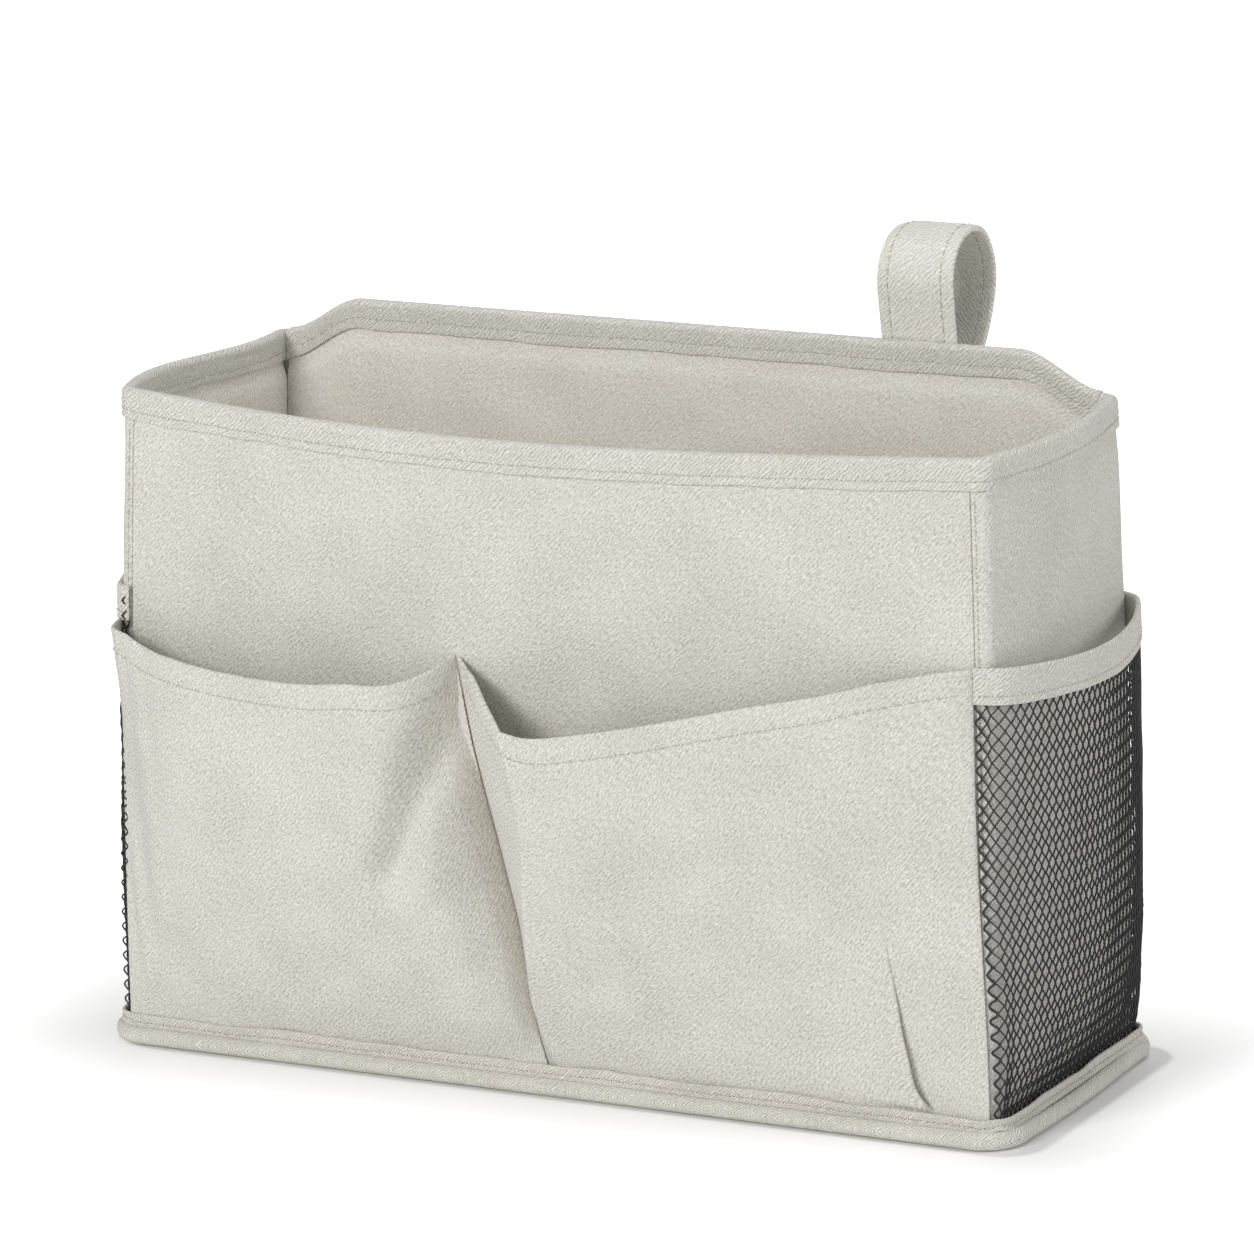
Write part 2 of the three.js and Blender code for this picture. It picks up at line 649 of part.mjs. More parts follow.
function addNetPocket(name, side) {
  const surface = netSurface(side);
  const { columns } = wayRound(side, cornerSeam - gap);
  const netEdge = netBandThickness + gap; // the net ends this far below the top of its band
  const heights = (share) => {
    const top = netRimAt(share);
    const field = shares(netRows).map((t) => mix(lipHeight + gap, top - netBandHeight, t));
    return [netFoot, ...field, top - netEdge];
  };
  const sheet = (i, j, offset) => {
    const share = entryAt(columns, i);
    const z = entryAt(heights(share), j);
    return surface(share, z).addScaledVector(netNormal(surface, side, share, z), offset);
  };
  const halfAcross = (rimDepth / 2 - cornerRadius) / sideSteps;
  const halfUp = (netTop - netBandHeight - lipHeight - gap) / netRows / 2;
  const inner = (halfAcross * halfUp) / hypot(halfAcross, halfUp);
  const holeShare = 1 - netThread / 2 / inner;
  const net = diamondNet(sheet, columns.length - 1, netRows + 2, cornerSteps + 1, 1, holeShare);
  addMesh(name + "_net", net, netFinish);

  const outer = netThickness / 2 + gap + netBandThickness;
  const profile = [
    [outer, netBandHeight],
    [outer, netBandThickness],
    [outer - netBandThickness, 0],
    [netBandThickness - outer, 0],
    [-outer, netBandThickness],
    [-outer, netBandHeight],
    [netBandThickness - outer, netBandHeight],
    [netBandThickness - outer, netEdge - gap],
    [outer - netBandThickness, netEdge - gap],
    [outer - netBandThickness, netBandHeight],
  ];
  const bandRing = (share) =>
    profile.map(([outward, drop]) => {
      const z = netRimAt(share) - drop;
      return surface(share, z).addScaledVector(netNormal(surface, side, share, z), outward);
    });
  addMesh(name + "_net_band", throughRings(columns.map(bandRing), profile), canvasFinish);
}

// Strap: a loop that swings on its pivot, and the two stacked ends sewn to the back wall below it

function solidFrom(geometry) {
  const bare = new THREE.BufferGeometry();
  bare.setAttribute("position", faceOut(geometry).getAttribute("position"));
  const merged = mergeVertices(bare, mergeDistance);
  const vertProperties = merged.getAttribute("position").array;
  const triVerts = new Uint32Array(merged.index.array);
  return new wasm.Manifold(new wasm.Mesh({ numProp: 3, vertProperties, triVerts }));
}

function geometryFrom(solid) {
  const mesh = solid.getMesh();
  const geometry = new THREE.BufferGeometry();
  geometry.setAttribute("position", new THREE.BufferAttribute(mesh.vertProperties, 3));
  geometry.setIndex(new THREE.BufferAttribute(mesh.triVerts, 1));
  return geometry.toNonIndexed();
}

function addStrap() {
  const [left, right] = [strapCentre - strapWidth / 2, strapCentre + strapWidth / 2];
  const pivotHeight = backHeight - strapPivotDrop;
  const pivotY = halfDepth(pivotHeight) + gap + strapThickness;
  const bindingFace = halfDepth(backHeight - bindingDrop) + gap + bindingThickness;
  const nearY = bindingFace + gap + strapThickness / 2;
  const reach = strapReach - strapThickness;
  const height = strapPivotDrop + strapStandHeight - strapThickness / 2;
  const halfStack = (strapThickness + strapStackGap) / 2;
  const knots = strapLoop.map(([back, up]) =>
    point(0, nearY + back * reach, pivotHeight + up * height),
  );
  const start = point(0, pivotY - halfStack, pivotHeight);
  const end = point(0, pivotY + halfStack, pivotHeight);
  const curve = new THREE.CatmullRomCurve3([start, ...knots, end], false, "centripetal");
  const face = (offset) =>
    shares(strapSteps).map((share) => {
      const along = curve.getTangentAt(share);
      const middle = curve.getPointAt(share);
      const [y, z] = [middle.y - along.z * offset, middle.z + along.y * offset];
      return [point(left, y, z), point(right, y, z)];
    });
  const loop = solidFrom(between(face(strapThickness / 2), face(-strapThickness / 2)));
  const knuckle = new THREE.CylinderGeometry(strapThickness, strapThickness, strapWidth, knuckleSides)
    .rotateZ(PI / 2)
    .translate(strapCentre, pivotY, pivotHeight)
    .toNonIndexed();
  addMesh("strap_loop", geometryFrom(loop.add(solidFrom(knuckle))), canvasFinish);

  const tailTop = pivotHeight - strapThickness - strapSwingRoom;
  const tailFace = (outward) =>
    [tailTop - strapTailLength, tailTop].map((z) =>
      [right, left].map((x) => point(x, halfDepth(z) + outward, z)),
    );
  const tail = between(tailFace(gap + 2 * strapThickness), tailFace(gap));
  addMesh("strap_tail", tail, canvasFinish);
}

addFoot();
addWalls();
addRimBindings();
addPockets();
addNetPocket("left", -1);
addNetPocket("right", 1);
addStrap();

export default organizer;
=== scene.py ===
"""Looks of the canvas armrest organizer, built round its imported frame.

Every cloth piece is a closed fine mesh on a surface given by two shares, u along it and v up it.
Lengths in this script are millimetres in the frame's axes, and new_mesh() turns them into metres.
"""

import math

import bpy
import numpy as np
from mathutils import Matrix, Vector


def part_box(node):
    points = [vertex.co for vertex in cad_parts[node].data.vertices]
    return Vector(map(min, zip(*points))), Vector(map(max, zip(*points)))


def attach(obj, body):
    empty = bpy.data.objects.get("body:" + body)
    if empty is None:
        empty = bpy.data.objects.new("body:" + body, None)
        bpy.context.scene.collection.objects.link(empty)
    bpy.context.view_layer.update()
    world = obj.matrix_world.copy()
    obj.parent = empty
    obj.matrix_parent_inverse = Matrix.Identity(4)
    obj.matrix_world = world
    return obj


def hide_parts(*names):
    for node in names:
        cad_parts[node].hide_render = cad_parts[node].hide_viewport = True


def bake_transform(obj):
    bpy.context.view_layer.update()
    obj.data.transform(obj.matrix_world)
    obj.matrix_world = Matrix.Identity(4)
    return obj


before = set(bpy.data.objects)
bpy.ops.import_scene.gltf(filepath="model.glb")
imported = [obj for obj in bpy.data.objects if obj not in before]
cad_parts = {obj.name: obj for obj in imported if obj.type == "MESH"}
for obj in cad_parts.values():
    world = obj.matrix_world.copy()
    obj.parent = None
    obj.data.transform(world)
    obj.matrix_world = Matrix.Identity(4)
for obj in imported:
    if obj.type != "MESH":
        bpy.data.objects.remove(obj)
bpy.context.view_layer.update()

MM = 0.001
PI = math.pi


def node_box(name):
    """Lowest and highest corner of a CAD node in millimetres."""
    low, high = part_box(name)
    return np.array(low) / MM, np.array(high) / MM


# Sizes taken from the frame
foot_box = node_box("base_binding")
base_length, base_depth, lip_height = foot_box[1] - foot_box[0]
rim_height = node_box("rim_binding")[1][2]
back_height = node_box("back_rim_binding")[1][2]
strap_low, strap_high = node_box("strap_loop")
tail_low = node_box("strap_tail")[0]
floor_top = node_box("floor_lining")[1][2]

# Shell: the frame's own driving dimensions
rim_shrink = 17.6
rim_length = base_length - rim_shrink
rim_depth = base_depth - rim_shrink
foot_inset = 5.5
foot_length = base_length - 2 * foot_inset
foot_depth = base_depth - 2 * foot_inset
base_corner_radius = 11
taper_power = 2.5
back_slope = 22
rim_meeting = 0.6
corner_radius = 3.1
corner_seam = 3.7
seam_slit = 0.06
wall_foot = 3.2
gap = 0.3
cloth_thickness = 0.7
board_thickness = 1.4
lining_thickness = 0.7
binding_drop = 7.8
binding_thickness = 0.7
binding_roundness = 1.6
pinch_fade = 6
front_bow = 10
front_bow_skew = 1.5
front_sag = 3.5
side_bow = {1: (6.4, 0.3), -1: (3.1, 3.3)}
bow_rise = 1.3
pinched_wall = cloth_thickness + gap + lining_thickness

# Pockets, nets and strap: as in the frame
pocket_thickness = 0.8
pocket_flare = 2.4
late_flare = 4
late_share = 0.14
net_thickness = 0.6
net_bulge = 8.8
net_squareness = {1: 0.55, -1: 1.3}
net_loop_stand_off = {1: 0, -1: 1.0}
net_flare = 8
net_top = 122
net_top_lift = 2
net_band_height = 9
side_lip_push = 0.8
strap_width = 21.5
strap_thickness = 1.7
strap_centre = (strap_low[0] + strap_high[0]) / 2
strap_pivot_height = back_height - 22.3
sides = {"left": -1, "right": 1}

# Small helpers


def mix(a, b, t):
    return a + (b - a) * t


def clamp(t):
    return np.clip(t, 0, 1)


def smooth(t):
    t = clamp(t)
    return t * t * (3 - 2 * t)


def bell(offset, width):
    return np.exp(-((offset / width) ** 2))


def evenly(count):
    return np.linspace(0, 1, count)


def near_ends(share, first, last=None):
    """0 at both ends of a share, rising to 1 within the widths first and last."""
    return smooth(np.minimum(share / first, (1 - share) / (last or first)))


def spaced(stops, counts):
    """Shares through the stops, with a number of equal steps between each two."""
    steps = [np.linspace(a, b, n + 1)[1:] for a, b, n in zip(stops, stops[1:], counts)]
    return np.concatenate([stops[:1], *steps])


def points(x, y, z):
    return np.stack(np.broadcast_arrays(*(np.asarray(c, float) for c in (x, y, z))), -1)


def unit(v):
    return v / np.maximum(np.linalg.norm(v, axis=-1, keepdims=True), 1e-9)


def waves(seed, longest, shortest, count=16):
    """A smooth random field of two lengths, mostly from -1 to 1, the same for the same seed."""
    rng = np.random.default_rng(seed)
    length = np.exp(rng.uniform(math.log(shortest), math.log(longest), count))
    heading = rng.uniform(0, PI, count)
    phase = rng.uniform(0, 2 * PI, count)
    weight = np.sqrt(length)
    weight = weight / np.sqrt((weight**2).sum() / 2)

    def field(a, b):
        total = 0
        for k in range(count):
            way = a * math.cos(heading[k]) + b * math.sin(heading[k])
            total = total + weight[k] * np.sin(2 * PI * way / length[k] + phase[k])
        return total / 1.6

    return field


def spline(knots):
    """A smooth curve through knots (share, value, value, ...) as a function of the share."""
    table = np.array(knots, float)
    shares, values = table[:, 0], table[:, 1:]
    span = np.diff(shares)[:, None]
    rate = np.diff(values, axis=0) / span
    slope = np.vstack([rate[:1], (rate[:-1] + rate[1:]) / 2, rate[-1:]])

    def at(share):
        share = np.clip(share, shares[0], shares[-1])
        k = np.clip(np.searchsorted(shares, share, side="right") - 1, 0, len(shares) - 2)
        h = span[k]
        t = ((share - shares[k])[..., None]) / h
        a, b = values[k], values[k + 1]
        ta, tb = slope[k] * h, slope[k + 1] * h
        return mix(a, b, smooth(t)) + t * (1 - t) * ((1 - t) * ta - t * tb)

    return at


def distance_to(line, x, z):
    """Distance from each point to a drawn line of points (x, z), and the share of the way along it."""
    line = np.array(line, float)
    lengths = np.linalg.norm(np.diff(line, axis=0), axis=1)
    start = np.concatenate([[0], np.cumsum(lengths)[:-1]])
    best, along = np.inf, 0
    for k, length in enumerate(lengths):
        (ax, az), (bx, bz) = line[k], line[k + 1]
        t = clamp(((x - ax) * (bx - ax) + (z - az) * (bz - az)) / length**2)
        away = np.hypot(x - mix(ax, bx, t), z - mix(az, bz, t))
        near = away < best
        best = np.where(near, away, best)
        along = np.where(near, (start[k] + t * length) / lengths.sum(), along)
    return best, along


def ridge(line, x, z, height, width, fade=0.25):
    """Height of a soft fold along a drawn line, fading out towards its two ends."""
    away, along = distance_to(line, x, z)
    return height * near_ends(along, fade) * bell(away, width)


def running_length(line):
    """Length of the way from the first point of a line to each of its points."""
    return np.concatenate([[0], np.cumsum(np.linalg.norm(np.diff(line, axis=0), axis=1))])


def even_shares(curve, count):
    """Shares that cut a curve into equal lengths, and the curve's whole length."""
    fine = evenly(count * 12)
    way = running_length(curve(fine))
    return np.interp(np.linspace(0, way[-1], count), way, fine), way[-1]


# Meshes

edge_steps = 3


def new_mesh(name, vertices, faces, cloth=None):
    mesh = bpy.data.meshes.new(name)
    mesh.from_pydata((np.asarray(vertices) * MM).tolist(), [], faces)
    mesh.shade_smooth()
    if cloth is not None:
        layer = mesh.attributes.new("cloth", "FLOAT_VECTOR", "POINT")
        layer.data.foreach_set("vector", np.asarray(cloth, np.float32).ravel())
    mesh.update()
    piece = bpy.data.objects.new(name, mesh)
    bpy.context.scene.collection.objects.link(piece)
    return piece


def grid_faces(index):
    """Faces of four corners between neighbours in a grid of vertex numbers."""
    corners = index[:-1, :-1], index[:-1, 1:], index[1:, 1:], index[1:, :-1]
    return np.stack(corners, -1).reshape(-1, 4)


def cloth_from_grid(name, grid, front, behind, turn_row=0):
    """A closed cloth with rounded edges on a grid of points, rows going up and columns along.

    Its weave leans the other way below turn_row.
    """
    along, up = np.gradient(grid, axis=1), np.gradient(grid, axis=0)
    normal, along, up = unit(np.cross(along, up)), unit(along), unit(up)
    front, behind, _ = np.broadcast_arrays(front, behind, grid[..., 0])
    middle = grid + normal * ((front - behind) / 2)[..., None]
    half = (front + behind) / 2
    s = np.cumsum(np.pad(np.linalg.norm(np.diff(grid, axis=1), axis=-1).mean(0), (1, 0)))
    t = np.cumsum(np.pad(np.linalg.norm(np.diff(grid, axis=0), axis=-1).mean(1), (1, 0)))
    s, t = np.meshgrid(s, np.abs(t - t[turn_row]))

    def widened(values):
        more = (edge_steps, edge_steps)
        return np.pad(values, (more, more, (0, 0))[:values.ndim], "edge")

    def turn(count):
        angle = np.linspace(0, PI / 2, edge_steps + 1)[1:]
        return np.concatenate([-angle[::-1], np.zeros(count), angle])

    turn_v, turn_u = np.meshgrid(*map(turn, half.shape), indexing="ij")
    middle, normal, along, up, half, s, t = map(widened, (middle, normal, along, up, half, s, t))
    shift_u, shift_v = half * np.sin(turn_u), half * np.sin(turn_v)
    middle = middle + along * shift_u[..., None] + up * shift_v[..., None]
    s, t = s + shift_u, t + shift_v
    lift = half * np.cos(turn_u) * np.cos(turn_v)
    lift[[0, -1], :] = 0
    lift[:, [0, -1]] = 0

    lift = normal * lift[..., None]
    cloth = points(s, t, 0)
    inside = slice(1, -1), slice(1, -1)
    outer = np.arange(half.size).reshape(half.shape)
    inner = outer.copy()
    inner[inside] = half.size + np.arange(inner[inside].size).reshape(inner[inside].shape)
    vertices = np.concatenate([(middle + lift).reshape(-1, 3), (middle - lift)[inside].reshape(-1, 3)])
    cloth = np.concatenate([cloth.reshape(-1, 3), cloth[inside].reshape(-1, 3)])
    faces = np.concatenate([grid_faces(outer), grid_faces(inner)[:, ::-1]])
    return new_mesh(name, vertices, faces.tolist(), cloth)


def circle(across, up, sides):
    """Unit circles of points in the planes of two unit vectors each."""
    turn = np.arange(sides) * 2 * PI / sides
    return across[..., None, :] * np.cos(turn)[:, None] + up[..., None, :] * np.sin(turn)[:, None]


def tube_piece(name, tubes, cloth=None):
    """One piece made of closed tubes, each of them an array of rings of points."""
    vertices, faces = [], []
    for rings in tubes:
        count, sides = rings.shape[:2]
        first = len(vertices)
        last = first + (count - 1) * sides
        for a in range(first, last, sides):
            b = a + sides
            faces += [(a + (j + 1) % sides, a + j, b + j, b + (j + 1) % sides) for j in range(sides)]
        faces.append(tuple(range(first, first + sides)))
        faces.append(tuple(reversed(range(last, last + sides))))
        vertices.extend(rings.reshape(-1, 3))
    return new_mesh(name, vertices, faces, cloth)


# Stitches: short thread arcs that dip into the cloth, their thread a little darker than the cloth partly as
# painted shade, with a needle hole between each two: a small dark funnel that is painted shade

thread_radius = 0.23
stitch_pitch = 3.5
stitch_share = 0.72
stitch_rings = 5
stitch_sides = 6
hole_radius = 0.2
hole_depth = 0.1
hole_rise = 0.03
hole_sides = 8
seams = {body: {"stitches": [], "painted_hole_shades": []} for body in ("box", "strap")}


def sew(body, place, normal):
    """A row of stitches along dense points on the cloth, with the cloth's normals there."""
    way = running_length(place)
    count = int(way[-1] / stitch_pitch)
    pitch = way[-1] / count
    share = evenly(stitch_rings)
    height = thread_radius * (1.5 * np.sin(PI * share) - 0.9)
    radius = thread_radius * (0.55 + 0.45 * np.sin(PI * share))

    def at(where, values):
        return np.stack([np.interp(where, way, values[:, k]) for k in range(3)], -1)

    for k in range(count):
        where = (k + (1 - stitch_share) / 2) * pitch + share * pitch * stitch_share
        middle, up = at(where, place), unit(at(where, normal))
        across = unit(np.cross(unit(np.gradient(middle, axis=0)), up))
        ring = circle(across, up, stitch_sides) * radius[:, None, None]
        seams[body]["stitches"].append((middle + up * height[:, None])[:, None] + ring)

        # Each needle hole is a small funnel in a dark colour: painted shade of the hole.
        hole, hole_up = at(k * pitch, place), unit(at(k * pitch, normal))
        rim = hole_radius * circle(across[0], unit(np.cross(hole_up, across[0])), hole_sides)
        rings = [hole + 0.8 * rim + hole_rise * hole_up, hole + rim - hole_depth * hole_up]
        seams[body]["painted_hole_shades"].append(np.stack(rings))


def sew_row(body, surface, u, v, front, step=1e-3):
    """Stitches along places (u, v) on the face of a cloth that lies front of its middle."""
    u, v = np.broadcast_arrays(np.asarray(u, float), np.asarray(v, float))
    along = surface(np.minimum(u + step, 1), v) - surface(np.maximum(u - step, 0), v)
    up = surface(u, np.minimum(v + step, 1)) - surface(u, np.maximum(v - step, 0))
    normal = unit(np.cross(along, up))
    sew(body, surface(u, v) + normal * front, normal * np.sign(front))


# Materials


def srgb(red, green, blue):
    """A colour of 0 to 255 as the linear colour that shaders take."""
    values = [c / 255 for c in (red, green, blue)]
    return tuple(c / 12.92 if c <= 0.04045 else ((c + 0.055) / 1.055) ** 2.4 for c in values) + (1,)


class Graph:
    """The nodes of a material or a world, made by short calls."""

    def __init__(self, owner):
        owner.use_nodes = True
        self.owner = owner
        self.nodes = owner.node_tree.nodes
        self.links = owner.node_tree.links

    def fill(self, node, inputs):
        for key, value in dict(inputs).items():
            if isinstance(value, bpy.types.NodeSocket):
                self.links.new(value, node.inputs[key])
            else:
                node.inputs[key].default_value = value
        return node

    def shade(self, inputs):
        self.fill(self.nodes["Principled BSDF"], inputs)

    def node(self, kind, inputs=(), **settings):
        made = self.nodes.new(kind)
        for key, value in settings.items():
            setattr(made, key, value)
        return self.fill(made, inputs)

    def math(self, operation, a, b=0.0, c=0.0):
        return self.node("ShaderNodeMath", {0: a, 1: b, 2: c}, operation=operation).outputs[0]

    def vector(self, operation, a, b=(0, 0, 0)):
        return self.node("ShaderNodeVectorMath", {0: a, 1: b}, operation=operation).outputs

    def noise(self, vector, scale, detail=2.0, roughness=0.5):
        settings = {"Vector": vector, "Scale": scale, "Detail": detail, "Roughness": roughness}
        return self.node("ShaderNodeTexNoise", settings).outputs["Fac"]

    def colour_mix(self, factor, a, b):
        return self.node("ShaderNodeMix", {0: factor, 6: a, 7: b}, data_type="RGBA").outputs[2]

    def ranged(self, value, low, high, to_low=0.0, to_high=1.0):
        inputs = {0: value, 1: low, 2: high, 3: to_low, 4: to_high}
        return self.node("ShaderNodeMapRange", inputs).outputs[0]

    def spread(self, noise):
        """Noise stretched to run from -0.5 to 0.5."""
        return self.ranged(noise, 0.3, 0.7, -0.5, 0.5)


def canvas_material(name, light, dark, depth=1.0, pitch=0.95, ribs=0.13, grain=0.5):
    """Twill canvas: short diagonal dashes of thread over faint ribs, flecks and a little mottling."""
    graph = Graph(bpy.data.materials.new(name))
    cloth = graph.node("ShaderNodeAttribute", attribute_name="cloth").outputs["Vector"]
    turned = graph.node("ShaderNodeVectorRotate", {"Vector": cloth, "Angle": PI / 4}, rotation_type="Z_AXIS")
    turned = turned.outputs[0]
    sway = 0.37 * pitch
    wobble = graph.ranged(graph.noise(cloth, 0.4, 1.0), 0.3, 0.7, -sway, sway)
    across = graph.math("ADD", graph.node("ShaderNodeSeparateXYZ", {0: turned}).outputs[0], wobble)
    rib = graph.math("SINE", graph.math("MULTIPLY", across, 2 * PI / pitch))
    dashes = graph.spread(graph.noise(graph.vector("MULTIPLY", turned, (2.0, 0.8, 1))[0], 1.0, 1.0, 0.6))
    fleck = graph.spread(graph.noise(cloth, 1.8, 1.0, 0.6))
    patch = graph.spread(graph.noise(cloth, 0.05, 2.0, 0.5))
    weave = graph.math("MULTIPLY_ADD", dashes, grain, graph.math("MULTIPLY", rib, ribs))
    weave = graph.math("MULTIPLY_ADD", fleck, 0.8 * grain, weave)
    tone = graph.math("MULTIPLY_ADD", patch, 0.12, graph.math("ADD", weave, 0.5))
    tone = graph.node("ShaderNodeClamp", {0: tone}).outputs[0]
    bump = {"Strength": 0.7, "Distance": 0.00025 * depth, "Height": weave}
    graph.shade(
        {
            "Base Color": graph.colour_mix(tone, dark, light),
            "Roughness": graph.ranged(tone, 0.0, 1.0, 0.97, 0.86),
            "Specular IOR Level": 0.25,
            "Sheen Weight": 0.08,
            "Sheen Roughness": 0.5,
            "Normal": graph.node("ShaderNodeBump", bump).outputs[0],
        }
    )
    return graph.owner


def plain_material(name, light, dark, scale, roughness):
    """A material with a fine irregular tone, by place on the object."""
    graph = Graph(bpy.data.materials.new(name))
    place = graph.node("ShaderNodeTexCoord").outputs["Object"]
    grain = graph.noise(place, scale, 3.0, 0.6)
    bump = {"Strength": 0.4, "Distance": 0.0001, "Height": grain}
    graph.shade(
        {
            "Base Color": graph.colour_mix(graph.ranged(grain, 0.3, 0.7), dark, light),
            "Roughness": graph.ranged(grain, 0.3, 0.7, roughness, roughness * 0.85),
            "Normal": graph.node("ShaderNodeBump", bump).outputs[0],
        }
    )
    return graph.owner


canvas = canvas_material("canvas", srgb(246, 244, 237), srgb(178, 175, 165))
lining = canvas_material("lining", srgb(253, 251, 243), srgb(196, 192, 181), 0.8)
tape = canvas_material("binding_tape", srgb(245, 243, 236), srgb(178, 175, 165), 1.1, 0.85, 0.26, 0.42)
strap_tape = canvas_material("strap_tape", srgb(255, 253, 247), srgb(196, 193, 183), 1.1, 1.0, 0.24, 0.4)
foot_tape = canvas_material("foot_tape", srgb(253, 251, 244), srgb(176, 172, 160), 1.1, 0.62, 0.42, 0.3)
net_yarn = plain_material("net_yarn", srgb(46, 46, 48), srgb(22, 22, 24), 900, 0.6)
# The thread's own colour, made darker than the cloth partly as painted shade where the stitches sink in.
thread = plain_material("thread", srgb(210, 206, 196), srgb(172, 168, 157), 1500, 0.8)
# Needle holes: a dark colour that is painted shade in the holes.
painted_hole_shade = plain_material("needle_hole_painted_shade", srgb(112, 108, 98), srgb(84, 80, 72), 1500, 0.95)
board = plain_material("stiffening_board", srgb(150, 143, 128), srgb(128, 121, 107), 300, 0.85)

# The shell


def taper(z):
    return (np.maximum(z, 0) / rim_height) ** taper_power


def half_length(z):
    return mix(foot_length, rim_length, taper(z)) / 2


def half_depth(z):
    return mix(foot_depth, rim_depth, taper(z)) / 2


def rise(z):
    return clamp(z / rim_height) ** bow_rise


def bow_curve(t, main, skew):
    t = clamp(t)
    return main * np.sin(PI * t) + skew * np.sin(2 * PI * t)


def front_bow_at(x, z):
    return rise(z) * bow_curve((x / half_length(z) + 1) / 2, front_bow, front_bow_skew)


def side_bow_at(side, y, z):
    return rise(z) * bow_curve((y / half_depth(z) + 1) / 2, *side_bow[side])


def front_rim(x):
    return rim_height - front_sag * np.sin(PI * clamp(x / rim_length + 0.5))


def back_rim(x):
    end = rim_length / 2 - corner_seam
    slope = smooth((end - np.abs(x)) / back_slope)
    return rim_height + mix(rim_meeting, back_height - rim_height, slope)


def front_point(x, z, inward):
    return points(x, -half_depth(z) - front_bow_at(x, z) + inward, z)


crumple_front = waves(3, 70, 18)
crumple_sides = waves(5, 60, 14)
crumple_inside = waves(8, 60, 16)


def way_round(side, reach):
    """Point on the shell round a side wall, from the front face to the back face."""
    flat = reach - corner_radius
    turn = corner_radius * PI / 2
    straight = foot_depth - 2 * corner_radius
    total = 2 * (flat + turn) + straight

    def at(share, z, inward):
        end = np.where(share < 0.5, -1, 1)
        way = np.minimum(share, 1 - share) * total
        angle = clamp((way - flat) / turn) * PI / 2
        along = np.maximum(0, way - flat - turn) / straight
        x = half_length(z) - corner_radius * (1 - np.sin(angle)) - np.maximum(0, flat - way)
        corner_y = half_depth(z) - corner_radius * (1 - np.cos(angle))
        y = corner_y - along * 2 * (half_depth(z) - corner_radius)
        bow = np.where(end < 0, front_bow_at(side * x, z), 0)
        out_x = side * (x + side_bow_at(side, end * y, z) - inward * np.sin(angle))
        return points(out_x, end * (y + bow - inward * np.cos(angle)), z)

    at.total = total
    at.turn_end = (flat + turn) / total
    return at


def facing(side, share):
    """Shares run so that the cloth's outer face is to the right of its way."""
    return share if side > 0 else 1 - share


def dress(piece, material, node):
    """Gives a piece of the box its material, and hides the CAD node that it stands for."""
    piece.data.materials.append(material)
    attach(piece, "box")
    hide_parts(node)


def add_cloth(name, node, surface, us, vs, half, material, flat, held, rests_on, behind=None, slot="canvas"):
    """A cloth that stands for a node, half its thickness to each side of surface(u, v).

    Its inner face lies at the distance behind(u, v) instead where that is given.
    """
    u, v = np.meshgrid(us, vs)
    piece = cloth_from_grid(name, surface(u, v), half, behind(u, v) if behind else half)
    dress(piece, material, node)


# Outer cloths

cloth_half = cloth_thickness / 2
cloth_top_drop = binding_thickness + 2 * gap
binding_fade = 8
panel_margin = 0.04
side_margin = 0.12
front_crumple, side_crumple, back_crumple = 0.35, 0.4, 0.3
side_shift = 400
back_shift = 900
corner_stitch_share = 0.008
# A soft fold on the right wall: its line of (y, z), height and width
right_wall_fold = [(-40, 145), (-24, 152), (-4, 158)], 1.1, 4


def below_binding(rim, z):
    """0 under the rim binding, rising to 1 below it."""
    return smooth((rim - z - binding_drop) / binding_fade)


def front_surface(u, v):
    """Middle surface of the front canvas."""
    z_top = rim_height - cloth_top_drop
    x = (2 * u - 1) * (half_length(mix(wall_foot, z_top, v)) - corner_seam - seam_slit - cloth_half)
    z = mix(wall_foot, front_rim(x) - cloth_top_drop, v)
    free = near_ends(u, panel_margin) * below_binding(front_rim(x), z)
    return front_point(x, z, cloth_half - front_crumple * free * crumple_front(x, z))


def side_surface(side):
    way = way_round(side, corner_seam)
    end = cloth_half / way.total

    def surface(u, v):
        share = mix(end, 1 - end, facing(side, u))
        rim = np.where(share < 0.5, front_rim(way(share, rim_height, 0)[..., 0]), rim_height)
        z = mix(wall_foot, rim - cloth_top_drop, v)
        free = near_ends(share, side_margin) * below_binding(rim, z)
        away = side_crumple * free * crumple_sides(share * way.total + side_shift * side, z)
        if side > 0:
            line, height, width = right_wall_fold
            away = away + ridge(line, way(share, z, 0)[..., 1], z, height, width)
        return way(share, z, cloth_half - away)

    return surface


def back_surface(u, v):
    inset = corner_seam + gap + cloth_half
    top = back_rim((1 - 2 * u) * (half_length(rim_height) - inset))
    z = mix(wall_foot, top - cloth_top_drop, v)
    x = (1 - 2 * u) * (half_length(z) - inset)
    free = near_ends(u, panel_margin) * below_binding(top, z)
    away = back_crumple * free * crumple_front(x + back_shift, z)
    return points(x, half_depth(z) - cloth_half + away, z)


def add_outer_cloths():
    up = evenly(110)

    def add(name, surface, us, flat):
        look = (cloth_half, canvas, flat, "stretched", name + "_board")
        add_cloth(name + "_canvas", name + "_cloth", surface, us, up, *look)

    add("front", front_surface, evenly(170), (0.251, 0.18))
    add("back", back_surface, evenly(150), (0.251, 0.19))
    for name, side in sides.items():
        surface, turn_end = side_surface(side), way_round(side, corner_seam).turn_end
        add(name, surface, spaced([0, turn_end, 1 - turn_end, 1], [10, 70, 10]), (0.1, 0.18))
        # A row of stitches follows the seam at the front corner.
        seam_share = facing(side, corner_stitch_share)
        sew_row("box", surface, seam_share, np.linspace(0.02, 0.95, 900), cloth_half)


# Linings

